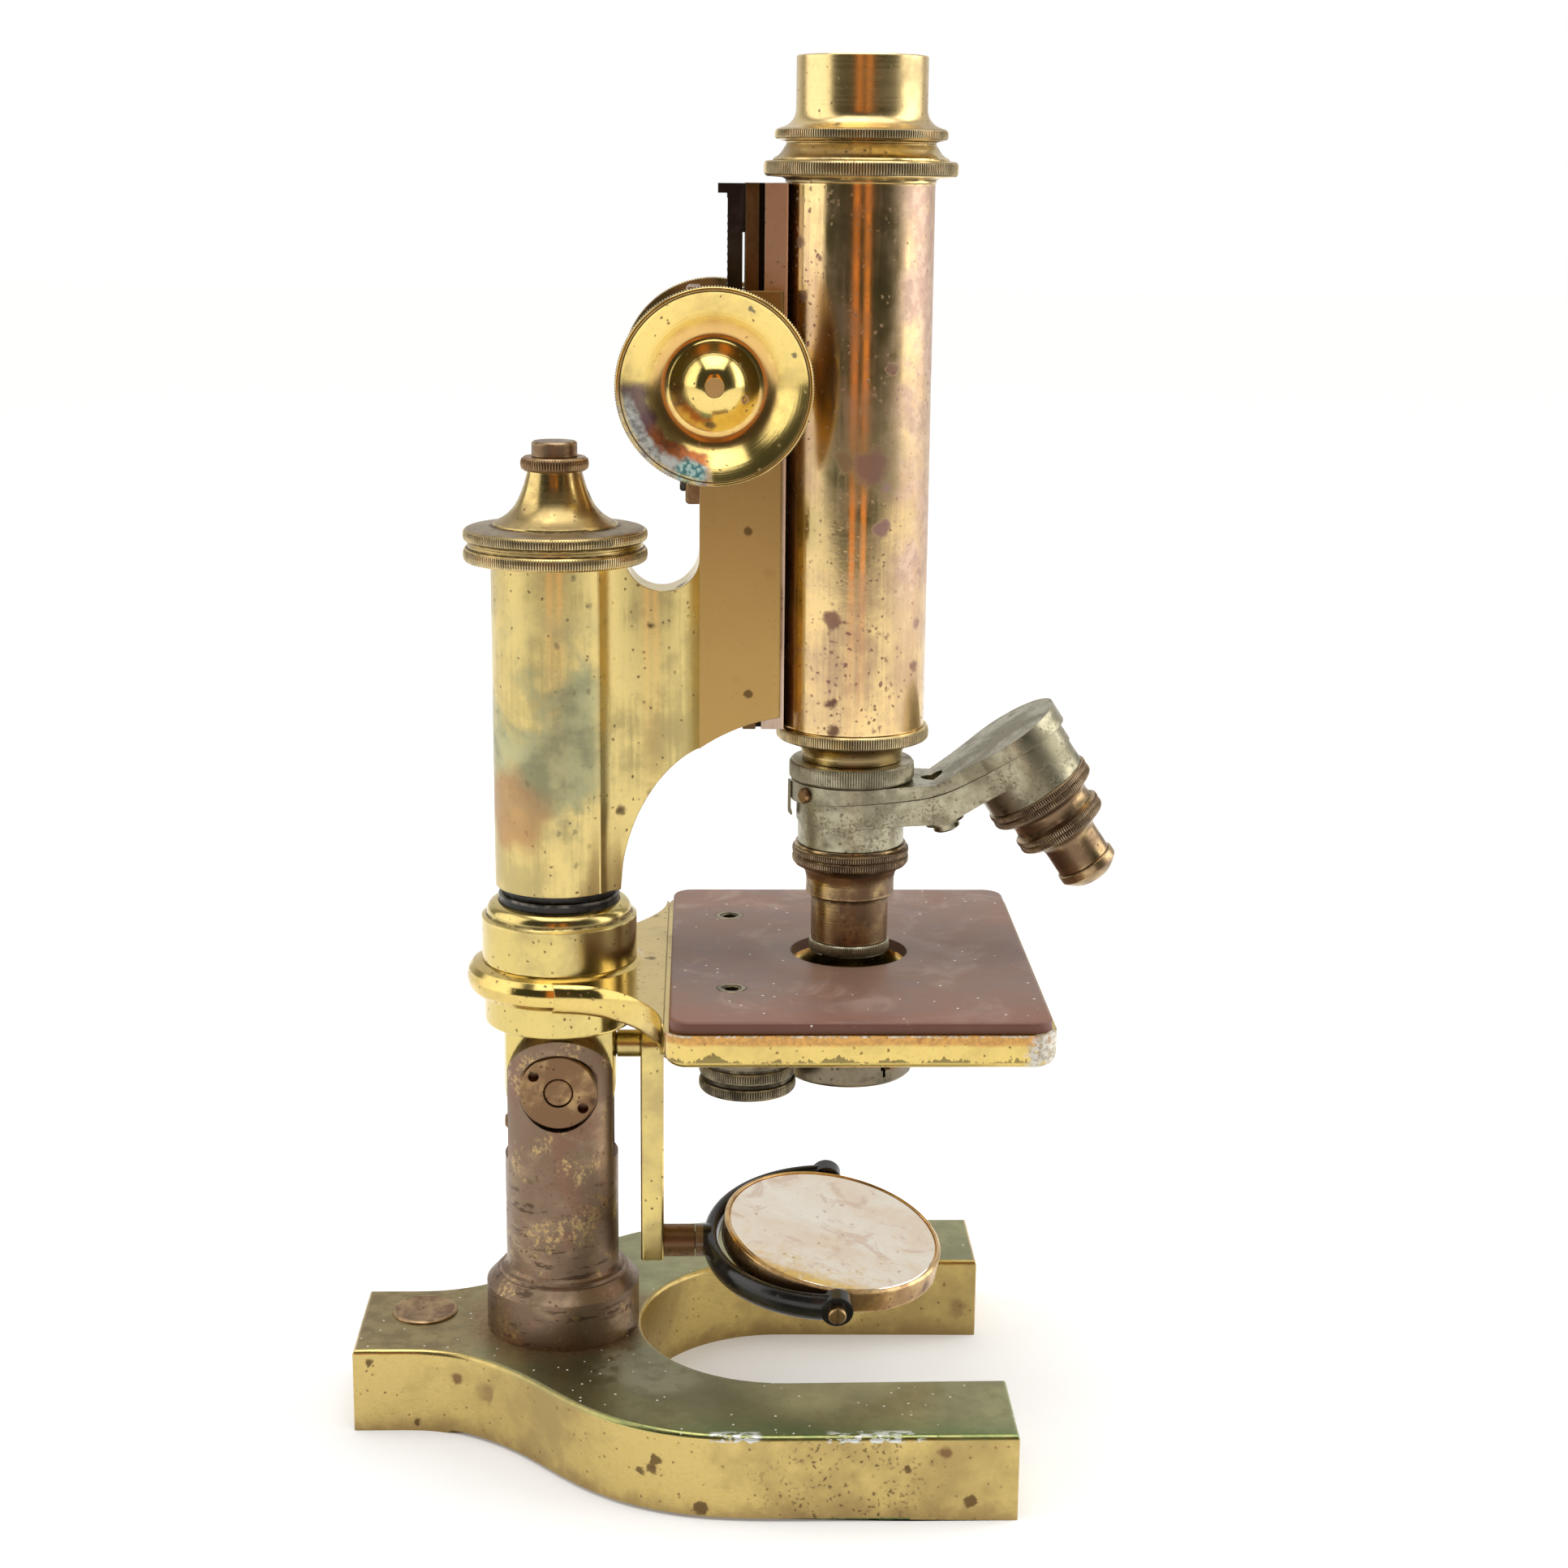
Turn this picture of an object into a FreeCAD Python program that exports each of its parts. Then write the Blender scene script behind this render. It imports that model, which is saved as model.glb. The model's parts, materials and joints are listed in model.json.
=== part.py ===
import FreeCAD, Part
import os, math, re
import Sketcher

# Brass compound microscope: horseshoe foot, round pillar with inclination joint,
# limb with stage, prism-type fine focus in the column, rack and pinion coarse focus,
# draw tube with eyepiece, double nosepiece with two objectives, swing-out iris and a
# gimballed double mirror on a swinging tailpiece.
# Frame: +Z up, origin where the optical axis meets the table, +X from the pillar to the
# open end of the foot, so front is +X and rear is -X. Near is -Y, far is +Y. Millimetres.

os.makedirs("parts", exist_ok=True)
doc = FreeCAD.newDocument("compound_microscope")
Vec = FreeCAD.Vector
Rot = FreeCAD.Rotation
X_AXIS = (1, 0, 0)
Y_AXIS = (0, 1, 0)
Z_AXIS = (0, 0, 1)
ORIGIN = Vec(0, 0, 0)

# ---------------------------------------------------------------- driving dimensions
# alias, value, meaning
DIMS = [
    ("col_x", -64.6, "pillar and column axis, from the optical axis"),
    ("foot_rear", -111.2, "rear edge of the foot"),
    ("foot_front", 34.4, "front ends of the two toes"),
    ("foot_high", 19.6, "height of the foot"),
    ("foot_tail_half", 16.3, "half width of the tail of the foot"),
    ("foot_half", 58.3, "half width over the toes"),
    ("gap_half", 31.8, "half width between the toes at the front"),
    ("gap_rad", 32.5, "radius of the rounded end of the gap"),
    ("gap_cx", -14.1, "centre of the rounded end of the gap"),
    ("foot_bevel", 1.2, "bevel along the upper edges of the foot"),
    ("plug_rad", 7.6, "plug in the tail of the foot"),
    ("pillar_rad", 12.8, "pillar"),
    ("pillar_foot_rad", 17.4, "turned collar at the foot of the pillar"),
    ("pillar_foot_top", 30.3, "top edge of that collar"),
    ("joint_z", 79.0, "inclination axis"),
    ("cheek_rad", 12.2, "rounded heads of the pillar cheeks"),
    ("tongue_half", 4.8, "half thickness of the joint tongue"),
    ("side_gap", 0.1, "side clearance of the joint tongue"),
    ("bolt_rad", 4.0, "inclination bolt"),
    ("run", 0.05, "radial running clearance"),
    ("nut_rad", 8.6, "two-hole nut of the inclination bolt"),
    ("flange_rad", 16.8, "flange under the stage bracket"),
    ("flange_low", 92.9, "underside of the flange"),
    ("ring_low", 99.9, "underside of the bracket ring"),
    ("ring_high", 107.3, "top of the bracket ring"),
    ("ring_rad", 20.6, "bracket ring"),
    ("collar_rad", 17.2, "limb collar"),
    ("collar_high", 117.2, "top edge of the limb collar cylinder"),
    ("neck_rad", 12.4, "blackened guide neck in the column"),
    ("sleeve_rad", 14.0, "column sleeve of the arm"),
    ("sleeve_low", 124.4, "bottom of the column sleeve"),
    ("sleeve_high", 196.1, "top of the column sleeve"),
    ("disc_rad", 19.85, "knurled discs of the fine focus"),
    ("stage_half_x", 39.7, "stage plate half length"),
    ("stage_half_y", 51.2, "stage plate half width"),
    ("stage_top", 108.5, "top of the stage plate"),
    ("stage_mid", 106.0, "joint between stage plate and its brass bed"),
    ("stage_low", 98.5, "underside of the brass bed"),
    ("stage_hole", 13.0, "stage aperture radius"),
    ("bush_x", -26.5, "stage clip bushes, position"),
    ("bush_y", 27.8, "stage clip bushes, half spacing"),
    ("bush_bore", 1.6, "bore of a stage clip bush, radius"),
    ("block_front", -16.2, "front of the arm block"),
    ("block_rear", -33.6, "rear of the arm block"),
    ("block_half", 10.5, "half width of the arm block"),
    ("block_top", 254.0, "top of the arm block"),
    ("arch_rad", 40.2, "arch under the arm"),
    ("pinion_x", -30.6, "pinion axis"),
    ("pinion_z", 235.2, "pinion axis"),
    ("gear_mod", 0.5, "module of rack and pinion"),
    ("gear_teeth", 12, "teeth of the pinion"),
    ("shaft_rad", 2.5, "pinion shaft"),
    ("knob_rad", 20.4, "coarse focus knobs"),
    ("tube_rad", 15.6, "body tube outside"),
    ("tube_bore", 14.4, "body tube inside"),
    ("tube_low", 160.6, "bottom of the body tube"),
    ("tube_high", 275.9, "top of the body tube"),
    ("draw_rad", 13.4, "draw tube outside"),
    ("draw_bore", 11.7, "draw tube bore for the eyepiece"),
    ("eye_rad", 11.65, "eyepiece tube"),
    ("cap_rad", 13.7, "upper shell of the eyepiece"),
    ("eye_high", 301.6, "top of the eyepiece"),
    ("apex_z", 206.9, "point where the objective axes meet"),
    ("nose_half_deg", 17.0, "angle from the nosepiece pivot to each objective"),
    ("face_d", 63.2, "parting face of the nosepiece, from the apex"),
    ("thread_rad", 10.16, "objective thread, 20.32 mm"),
    ("tail_pin_z", 86.6, "tailpiece pivot"),
    ("mirror_x", -3.0, "mirror centre"),
    ("mirror_z", 39.0, "mirror arm axis"),
    ("mirror_rad", 25.2, "mirror cell"),
    ("fork_in", 25.8, "inside of the mirror fork"),
    ("fork_out", 29.6, "outside of the mirror fork"),
    ("fork_deg", 9.0, "fork turned on its arm"),
    ("mirror_deg", 9.2, "mirror tilted in its fork"),
    ("iris_rad", 14.5, "iris housing"),
    ("iris_low", 81.0, "underside of the iris housing"),
    ("iris_px", -22.8, "iris swing pivot"),
    ("iris_py", -15.0, "iris swing pivot"),
]
sheet = doc.addObject("Spreadsheet::Sheet", "Dims")
for row, (alias, value, note) in enumerate(DIMS, start=1):
    sheet.set("A%d" % row, note)
    sheet.set("B%d" % row, repr(value))
    sheet.setAlias("B%d" % row, alias)
doc.recompute()


class dim:
    """The driving dimensions as read back from the sheet, one attribute per alias."""


for alias, _, _ in DIMS:
    setattr(dim, alias, float(sheet.get(alias)))


# ---------------------------------------------------------------- bound lengths
# A length is a plain number, or a sum of aliases and numbers such as "tube_bore-0.03".
def length(value):
    """The value of a length in millimetres."""
    if not isinstance(value, str):
        return float(value)
    total = 0.0
    for sign, word in re.findall(r"([+-]?)([^+-]+)", value):
        size = getattr(dim, word) if hasattr(dim, word) else float(word)
        total += -size if sign == "-" else size
    return total


def bind(obj, path, value):
    """Ties a property to the sheet when its length is written with aliases."""
    if isinstance(value, str):
        obj.setExpression(path, re.sub(r"[a-z]\w*", r"Dims.\g<0>", value))


# ---------------------------------------------------------------- document pieces
pieces = {}


def locate(obj, at, rotation):
    obj.Placement = FreeCAD.Placement(Vec(*[length(a) for a in at]), rotation)
    for axis, a in zip("xyz", at):
        bind(obj, "Placement.Base." + axis, a)


def fix_point(outline, geometry, end, x, y):
    """Holds a point of the sketch at x, y from the sketch origin."""
    for kind, value, axis in (("DistanceX", x, -2), ("DistanceY", y, -1)):
        if abs(length(value)) < 1e-9:
            outline.addConstraint(Sketcher.Constraint("PointOnObject", geometry, end, axis))
            continue
        index = outline.addConstraint(
            Sketcher.Constraint(kind, -1, 1, geometry, end, length(value)))
        bind(outline, "Constraints[%d]" % index, value)


def sketch(body, name, role, points=(), circle=None, offset=0.0):
    """A closed polygon or a circle (x, y, radius) on an origin plane of the body."""
    outline = body.newObject("Sketcher::SketchObject", name)
    plane = [f for f in body.Origin.OriginFeatures if f.Role == role][0]
    outline.AttachmentSupport = [(plane, "")]
    outline.MapMode = "FlatFace"
    outline.AttachmentOffset = FreeCAD.Placement(Vec(0, 0, offset), Rot())
    count = len(points)
    corners = [Vec(length(x), length(y), 0) for x, y in points]
    for i in range(count):
        outline.addGeometry(Part.LineSegment(corners[i], corners[(i + 1) % count]), False)
    for i in range(count):
        outline.addConstraint(Sketcher.Constraint("Coincident", i, 2, (i + 1) % count, 1))
    for i, (x, y) in enumerate(points):
        fix_point(outline, i, 1, x, y)
    if circle:
        x, y, radius = circle
        round_edge = Part.Circle(Vec(length(x), length(y), 0), Vec(0, 0, 1), length(radius))
        geometry = outline.addGeometry(round_edge, False)
        fix_point(outline, geometry, 3, x, y)
        index = outline.addConstraint(Sketcher.Constraint("Radius", geometry, length(radius)))
        bind(outline, "Constraints[%d]" % index, radius)
    outline.Visibility = False
    return outline


def lathe(label, profile, at=(0, 0, 0), rotation=Rot()):
    """A turned piece: a closed (radius, height) profile turned about its own Z axis."""
    body = doc.addObject("PartDesign::Body", label)
    body.Label = label
    outline = sketch(body, label + "_profile", "XZ_Plane", profile)
    turning = body.newObject("PartDesign::Revolution", label + "_turned")
    turning.Profile = outline
    turning.ReferenceAxis = (outline, ["V_Axis"])
    turning.Angle = 360.0
    locate(body, at, rotation)
    pieces[label] = body
    return body


def pocket(body, name, role, points=(), circle=None, offset=0.0, depth=60.0, middle=True,
           reverse=False):
    """Cuts an outline into a body, to both sides of its plane when middle is set."""
    doc.recompute()
    before = body.Shape.Volume
    cut = body.newObject("PartDesign::Pocket", name) if False else None
    outline = sketch(body, name + "_outline", role, points, circle, offset)
    cut = body.newObject("PartDesign::Pocket", name)
    cut.Profile = outline
    cut.Length = depth
    if middle:
        cut.Midplane = True
    cut.Reversed = reverse
    doc.recompute()
    if body.Shape.Volume > before - 1e-3:
        raise RuntimeError(name + " cuts nothing")


def solid(label, shape, at=None, rotation=Rot()):
    """A cast, milled or bent piece whose outline is not a single turning."""
    obj = doc.addObject("Part::Feature", label)
    obj.Label = label
    obj.Shape = shape
    if at is not None:
        locate(obj, at, rotation.multiply(shape.Placement.Rotation))
    pieces[label] = obj


# ---------------------------------------------------------------- shapes
def facing(x, y, z):
    """Rotation that takes the local Z axis to the given direction."""
    return Rot(Vec(0, 0, 1), Vec(x, y, z))


def cylinder(radius, height, base, direction=Z_AXIS):
    return Part.makeCylinder(radius, height, Vec(*base), Vec(*direction))


def box(x0, x1, y0, y1, z0, z1):
    return Part.makeBox(x1 - x0, y1 - y0, z1 - z0, Vec(x0, y0, z0))


def polygon(corners):
    return Part.Face(Part.makePolygon(corners + [corners[0]]))


def turned(profile):
    """A solid turned about Z from a closed (radius, height) profile."""
    return polygon([Vec(r, 0, z) for r, z in profile]).revolve(ORIGIN, Vec(0, 0, 1), 360)


def flat_slab(outline, z, height):
    """An (x, y) outline at height z, extruded upwards."""
    return polygon([Vec(x, y, z) for x, y in outline]).extrude(Vec(0, 0, height))


def upright_slab(outline, y, width):
    """An (x, z) outline at y, extruded towards +Y."""
    return polygon([Vec(x, y, z) for x, z in outline]).extrude(Vec(0, width, 0))


def lines(*corners):
    return [Part.makeLine(a, b) for a, b in zip(corners, corners[1:])]


def arc(start, middle, end):
    return Part.Arc(start, middle, end).toShape()


def cut_all(shape, *tools):
    for tool in tools:
        shape = shape.cut(tool)
    return shape


def fillet(shape, radius, wanted):
    """Rounds the edges whose bounding box passes the test."""
    return shape.makeFillet(radius, [e for e in shape.Edges if wanted(e.BoundBox)])


# ---------------------------------------------------------------- foot
# (x, y) along the far side of the foot, from the tail to the toe
FOOT_SIDE = [
    (-100.0, dim.foot_tail_half), (-94.0, 16.7), (-88.5, 18.2), (-84.0, 20.3), (-79.5, 23.2),
    (-75.0, 26.9), (-71.0, 30.8), (-67.0, 35.2), (-63.0, 39.6), (-59.0, 43.6), (-55.0, 47.0),
    (-50.5, 50.2), (-45.0, 53.1), (-39.0, 55.4), (-32.5, 57.0), (-25.5, 57.9),
    (-18.0, dim.foot_half)]
PLUG_X = -97.0
PLUG_Y = 4.6


def foot_side(inset):
    """The far side of the foot moved inwards, square to the line through its neighbours."""
    side = []
    last = len(FOOT_SIDE) - 1
    for i, (x, y) in enumerate(FOOT_SIDE):
        before = FOOT_SIDE[max(i - 1, 0)]
        after = FOOT_SIDE[min(i + 1, last)]
        dx, dy = after[0] - before[0], after[1] - before[1]
        if i in (0, last):
            dx, dy = 1.0, 0.0
        step = math.hypot(dx, dy)
        side.append((x + dy / step * inset, y - dx / step * inset))
    return side


def foot_wire(z, inset):
    """Horseshoe outline at height z, drawn in by inset all round."""
    far = [Vec(x, y, z) for x, y in foot_side(inset)]
    near = [Vec(p.x, -p.y, z) for p in far]
    rear, front = dim.foot_rear + inset, dim.foot_front - inset
    gap_x, gap_rad, gap_half = dim.gap_cx, dim.gap_rad + inset, dim.gap_half + inset

    def at(x, y):
        return Vec(x, y, z)

    def spline(points):
        """A curve through the points that leaves and ends parallel to X."""
        curve = Part.BSplineCurve()
        curve.interpolate(Points=points,
                          InitialTangent=Vec(points[1].x - points[0].x, 0, 0).normalize(),
                          FinalTangent=Vec(points[-1].x - points[-2].x, 0, 0).normalize())
        return [curve.toShape()]

    edges = lines(at(rear, far[0].y), at(rear, near[0].y), near[0])
    edges += spline(near)
    edges += lines(near[-1], at(front, near[-1].y), at(front, -gap_half), at(gap_x, -gap_rad))
    edges.append(arc(at(gap_x, -gap_rad), at(gap_x - gap_rad, 0), at(gap_x, gap_rad)))
    edges += lines(at(gap_x, gap_rad), at(front, gap_half), at(front, far[-1].y), far[-1])
    edges += spline(far[::-1])
    edges += lines(far[0], at(rear, far[0].y))
    return Part.Wire(edges)


def base_shape():
    bevel_z = dim.foot_high - dim.foot_bevel
    foot = Part.Face(foot_wire(0.0, 0.0)).extrude(Vec(0, 0, bevel_z))
    crown = Part.makeLoft(
        [foot_wire(bevel_z, 0.0), foot_wire(dim.foot_high, dim.foot_bevel)], True, True)
    foot = foot.fuse(crown).removeSplitter()
    # underside relieved between the tail pad and the toe pads, leaving a land round the gap
    land_rad = dim.gap_rad + 4.0
    relief = cut_all(box(-89.4, 11.5, -80, 80, -1, 0.8),
                     cylinder(land_rad, 4, (dim.gap_cx, 0, -2)),
                     box(dim.gap_cx, 20, -land_rad, land_rad, -2, 2))
    return cut_all(
        foot, relief,
        cylinder(9.0, 20, (dim.col_x, 0, 12.0)),   # seat of the pillar
        cylinder(4.2, 30, (dim.col_x, 0, 0)),      # pillar bolt
        cylinder(8.2, 5.6, (dim.col_x, 0, 0)),     # head of the pillar bolt
        cylinder(dim.plug_rad + 0.03, 10, (PLUG_X, PLUG_Y, 16.5)))


ON_COLUMN = ("col_x", 0, 0)
solid("base", base_shape())
lathe("base_plug", [
    (0, "foot_high-3"), ("plug_rad", "foot_high-3"), ("plug_rad", "foot_high+0.3"),
    ("plug_rad-0.4", "foot_high+0.6"), (0, "foot_high+0.6")], (PLUG_X, PLUG_Y, 0))
lathe("pillar_bolt", [(0, 1.5), (8.0, 1.5), (8.0, 5.5), (3.9, 5.5), (3.9, 29.5), (0, 29.5)],
      ON_COLUMN)


# ---------------------------------------------------------------- pillar and inclination joint
NUT_FACE = 9.4       # flats under the bolt head and the nut, from the middle of the pillar
SHOULDER_Z = 70.0    # foot of the flanks beside the cheeks


def build_pillar():
    pillar = lathe("pillar", [
        (3.95, 12.2), (8.95, 12.2), (8.95, "foot_high"), ("pillar_foot_rad", "foot_high"),
        ("pillar_foot_rad", "pillar_foot_top"), (14.9, "pillar_foot_top+2.7"),
        (14.5, "pillar_foot_top+2.8"), (14.2, "pillar_foot_top+3.5"),
        (13.4, "pillar_foot_top+3.9"), ("pillar_rad", "pillar_foot_top+4.6"),
        ("pillar_rad", "joint_z+13.2"), (0, "joint_z+13.2"), (0, 31.0), (3.95, 31.0)],
        ON_COLUMN)
    pocket(pillar, "pillar_slot", "YZ_Plane", [
        ("-tongue_half-side_gap", 61.0), ("tongue_half+side_gap", 61.0),
        ("tongue_half+side_gap", 100.0), ("-tongue_half-side_gap", 100.0)])
    # everything outside the rounded heads of the cheeks
    head = []
    for i in range(25):
        angle = math.pi * i / 24.0
        head.append((dim.cheek_rad * math.cos(angle),
                     dim.joint_z + dim.cheek_rad * math.sin(angle)))
    pocket(pillar, "pillar_cheeks", "XZ_Plane",
           [(12.9, SHOULDER_Z), (dim.cheek_rad, 76.0)] + head
           + [(-dim.cheek_rad, 76.0), (-12.9, SHOULDER_Z), (-16.0, SHOULDER_Z),
              (-16.0, 96.0), (16.0, 96.0), (16.0, SHOULDER_Z)])
    pocket(pillar, "pillar_bolt_hole", "XZ_Plane", circle=(0, "joint_z", "bolt_rad+run"))
    # the XZ plane looks along -Y: a positive offset lies on the -Y side
    face = (0, "joint_z", "nut_rad+0.4")
    pocket(pillar, "nut_face_near", "XZ_Plane", circle=face, offset=NUT_FACE,
           depth=20, middle=False, reverse=True)
    pocket(pillar, "nut_face_far", "XZ_Plane", circle=face, offset=-NUT_FACE,
           depth=20, middle=False)


def joint_nut_shape():
    nut = turned([(3.36, 9.42), (dim.nut_rad, 9.42), (dim.nut_rad, 11.6),
                  (dim.nut_rad - 0.4, 12.0), (3.36, 12.0)])
    nut.rotate(ORIGIN, Vec(1, 0, 0), 90)
    return cut_all(nut, *[cylinder(1.2, 6, (x, -13.5, z), Y_AXIS)
                          for x, z in ((-5.45, 3.9), (5.45, -3.5))])


build_pillar()
lathe("joint_bolt", [
    (0, -11.8), ("nut_rad-0.6", -11.8), ("nut_rad", -11.2), ("nut_rad", -9.4),
    ("bolt_rad", -9.4), ("bolt_rad", 9.35), (3.3, 9.35), (3.3, 11.5), (2.9, 11.9), (0, 11.9)],
    ("col_x", 0, "joint_z"), facing(0, -1, 0))
solid("joint_nut", joint_nut_shape(), ("col_x", 0, "joint_z"))

# ---------------------------------------------------------------- limb
TONGUE_RAD = 12.5
STOP_Z = 68.2        # stop screw in the rear of the tongue
LIMB_TOP = 117.5     # shoulder that carries the guide pillar


def limb_joint_shape():
    x, half = dim.col_x, dim.tongue_half
    limb = cylinder(TONGUE_RAD, 2 * half, (x, -half, dim.joint_z), Y_AXIS)
    limb = limb.fuse(box(x - TONGUE_RAD, x + TONGUE_RAD, -half, half,
                         dim.joint_z, dim.flange_low + 0.1))
    limb = limb.common(cylinder(12.7, 60, (x, 0, 60)))
    limb = limb.fuse(cylinder(dim.flange_rad, dim.ring_low - dim.flange_low,
                              (x, 0, dim.flange_low)))
    limb = limb.fuse(cylinder(10.0, LIMB_TOP - dim.ring_low, (x, 0, dim.ring_low)))
    limb = limb.fuse(cylinder(4.0, 12.5, (x, 0, LIMB_TOP)))
    limb = cut_all(limb,
                   cylinder(dim.bolt_rad + dim.run, 40, (x, -20, dim.joint_z), Y_AXIS),
                   cylinder(2.52, 30, (x + 4.0, 0, dim.tail_pin_z), X_AXIS),
                   cylinder(0.82, 10.0, (x - 14.0, 0, STOP_Z), X_AXIS))
    # lower rim of the flange
    return fillet(limb, 0.8, lambda b: abs(b.ZMax - dim.flange_low) < 1e-3
                  and abs(b.ZMin - dim.flange_low) < 1e-3 and b.XLength > 33.0)


solid("limb_joint", limb_joint_shape())
lathe("limb_stop_screw", [
    (0, -8.2), (0.8, -8.2), (0.8, -0.9), (1.6, -0.9), (1.6, -0.2), (1.2, 0.2), (0, 0.3)],
    ("col_x-12.5", 0, STOP_Z), facing(-1, 0, 0))
lathe("limb_collar", [
    (10.05, "ring_high+0.05"), ("collar_rad", "ring_high+0.05"), ("collar_rad", "collar_high"),
    ("collar_rad-0.7", "collar_high+0.3"), ("collar_rad-1.1", "collar_high+0.8"),
    ("collar_rad-1.2", "collar_high+1.7"), ("collar_rad-1.7", "collar_high+2.6"),
    ("collar_rad-2.4", "collar_high+3.3"), ("collar_rad-3.3", "collar_high+3.5"),
    (13.45, "collar_high+3.5"), (13.45, 117.55), (10.05, 117.55)], ON_COLUMN)
lathe("guide_pillar", [
    (4.05, 117.6), (13.4, 117.6), (13.4, 122.3), (13.1, 122.6), ("neck_rad", 122.6),
    ("neck_rad", 140.0), (7.0, 140.0), (7.0, 176.0), (2.55, 176.0), (2.55, 161.0),
    (0, 161.0), (0, 131.0), (4.05, 131.0)], ON_COLUMN)

# ---------------------------------------------------------------- stage
# (x, y) along the far edge of the web, from the bracket ring to the bed
FLARE = [(-64.6, 21.2), (-59.5, 21.9), (-55.0, 23.2), (-51.0, 25.9), (-47.6, 29.4),
         (-44.6, 34.0), (-42.4, 38.6), (-40.9, 44.0), (-40.6, 48.0)]
FLARE_FRONT = -36.0


def flare_wire(z, grow):
    """Outline of the web at height z, widened by grow."""
    points = [Vec(x + grow * 0.4, y + grow, z) for x, y in FLARE]
    far = Part.BSplineCurve()
    far.interpolate(Points=points)
    near = Part.BSplineCurve()
    near.interpolate(Points=[Vec(p.x, -p.y, z) for p in points][::-1])
    start, end = points[0], points[-1]
    edges = [far.toShape()]
    edges += lines(end, Vec(FLARE_FRONT, end.y, z), Vec(FLARE_FRONT, -end.y, z),
                   Vec(end.x, -end.y, z))
    edges.append(near.toShape())
    edges += lines(Vec(start.x, -start.y, z), Vec(start.x, start.y, z))
    return Part.Wire(edges)


def bush_holes():
    return [cylinder(3.25, 40, (dim.bush_x, side * dim.bush_y, 90)) for side in (-1, 1)]


def stage_bracket_shape():
    """Ring round the column, flaring web and the bed under the stage plate."""
    low, high, rad = dim.ring_low, dim.ring_high, dim.ring_rad
    ring = turned([
        (0, low), (rad - 2.6, low), (rad - 1.3, low + 0.6), (rad - 0.4, low + 1.7),
        (rad, low + 3.2), (rad, high - 3.4), (rad - 0.4, high - 1.9), (rad - 1.3, high - 0.8),
        (rad - 2.6, high - 0.2), (rad - 3.2, high), (0, high)])
    ring.translate(Vec(dim.col_x, 0, 0))
    middle = (low + high - 0.6) / 2.0
    sections = [(low, -2.0), (low + 1.2, -0.6), (middle, 0.0), (high - 1.6, -0.5),
                (high - 0.6, -1.6)]
    web = Part.makeLoft([flare_wire(z, grow) for z, grow in sections], True, False)
    half_x, half_y = dim.stage_half_x + 0.9, dim.stage_half_y + 1.0
    bed = box(-half_x, half_x, -half_y, half_y, dim.stage_low, dim.stage_mid)
    bed = fillet(bed, 5.0, lambda b: b.ZLength > 3.0)
    bed = fillet(bed, 2.6, lambda b: b.ZMax < dim.stage_low + 0.01)
    bracket = web.fuse(ring).fuse(bed)
    bracket = cut_all(bracket,
                      box(-half_x - 0.2, 60, -60, 60, dim.stage_mid, 120),
                      cylinder(10.05, 40, (dim.col_x, 0, 90)),
                      cylinder(15.2, 40, (0, 0, 90)),
                      cylinder(4.02, 40, (dim.iris_px, dim.iris_py, 90)),
                      *bush_holes())
    return bracket.removeSplitter()


def stage_plate_shape():
    half_x, half_y = dim.stage_half_x, dim.stage_half_y
    plate = box(-half_x, half_x, -half_y, half_y, dim.stage_mid + 0.01, dim.stage_top)
    plate = fillet(plate, 4.6, lambda b: b.ZLength > 2.0)
    plate = fillet(plate, 0.9, lambda b: b.ZMin > dim.stage_top - 0.01)
    return cut_all(plate, cylinder(dim.stage_hole, 40, (0, 0, 90)), *bush_holes())


def clip_bushes_shape():
    bushes = []
    for side in (-1, 1):
        bush = turned([(dim.bush_bore, 100.0), (3.2, 100.0), (3.2, dim.stage_top - 0.1),
                       (3.0, dim.stage_top + 0.1), (dim.bush_bore, dim.stage_top + 0.1)])
        bush.translate(Vec(dim.bush_x, side * dim.bush_y, 0))
        bushes.append(bush)
    return Part.makeCompound(bushes)


solid("stage_bracket", stage_bracket_shape())
solid("stage_plate", stage_plate_shape())
solid("stage_clip_bushes", clip_bushes_shape())
lathe("iris_pivot_screw", [
    (0, 80.4), (5.6, 80.4), (6.6, 81.1), (9.4, 81.6), (10.3, 81.9), (10.7, 82.2), (10.7, 84.2),
    (10.0, 84.6), (10.0, 85.2), (10.7, 85.6), (10.7, 87.8), (10.2, 88.3), (10.0, 90.4),
    (8.6, 91.6), (7.4, 94.9), (4.0, 94.9), (4.0, 105.5), (0, 105.5)],
    ("iris_px", "iris_py", 0))


# ---------------------------------------------------------------- spring in the column
def focus_spring_shape():
    """Helical spring with an eight-sided wire section."""
    coil_rad, wire_rad, spring_pitch, spring_high = 9.3, 0.6, 5.5, 44.6
    helix = Part.makeHelix(spring_pitch, spring_high, coil_rad)
    section = Part.makePolygon([
        Vec(coil_rad + wire_rad * math.cos(math.radians(angle)), 0,
            wire_rad * math.sin(math.radians(angle))) for angle in range(0, 361, 45)])
    spring = Part.Wire(helix).makePipeShell([section], True, True)
    spring.translate(Vec(dim.col_x, 0, 140.7))
    return spring


solid("focus_spring", focus_spring_shape())

# ---------------------------------------------------------------- tailpiece and mirror
BAR_REAR = -46.6
BAR_FRONT = -41.4
BAR_HALF = 5.0
AT_MIRROR = ("mirror_x", 0, "mirror_z")
FORK_TURN = Rot(Vec(1, 0, 0), dim.fork_deg)
MIRROR_TURN = FORK_TURN.multiply(Rot(Vec(0, 1, 0), dim.mirror_deg))
GLASS_RAD = dim.mirror_rad - 1.03


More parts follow.
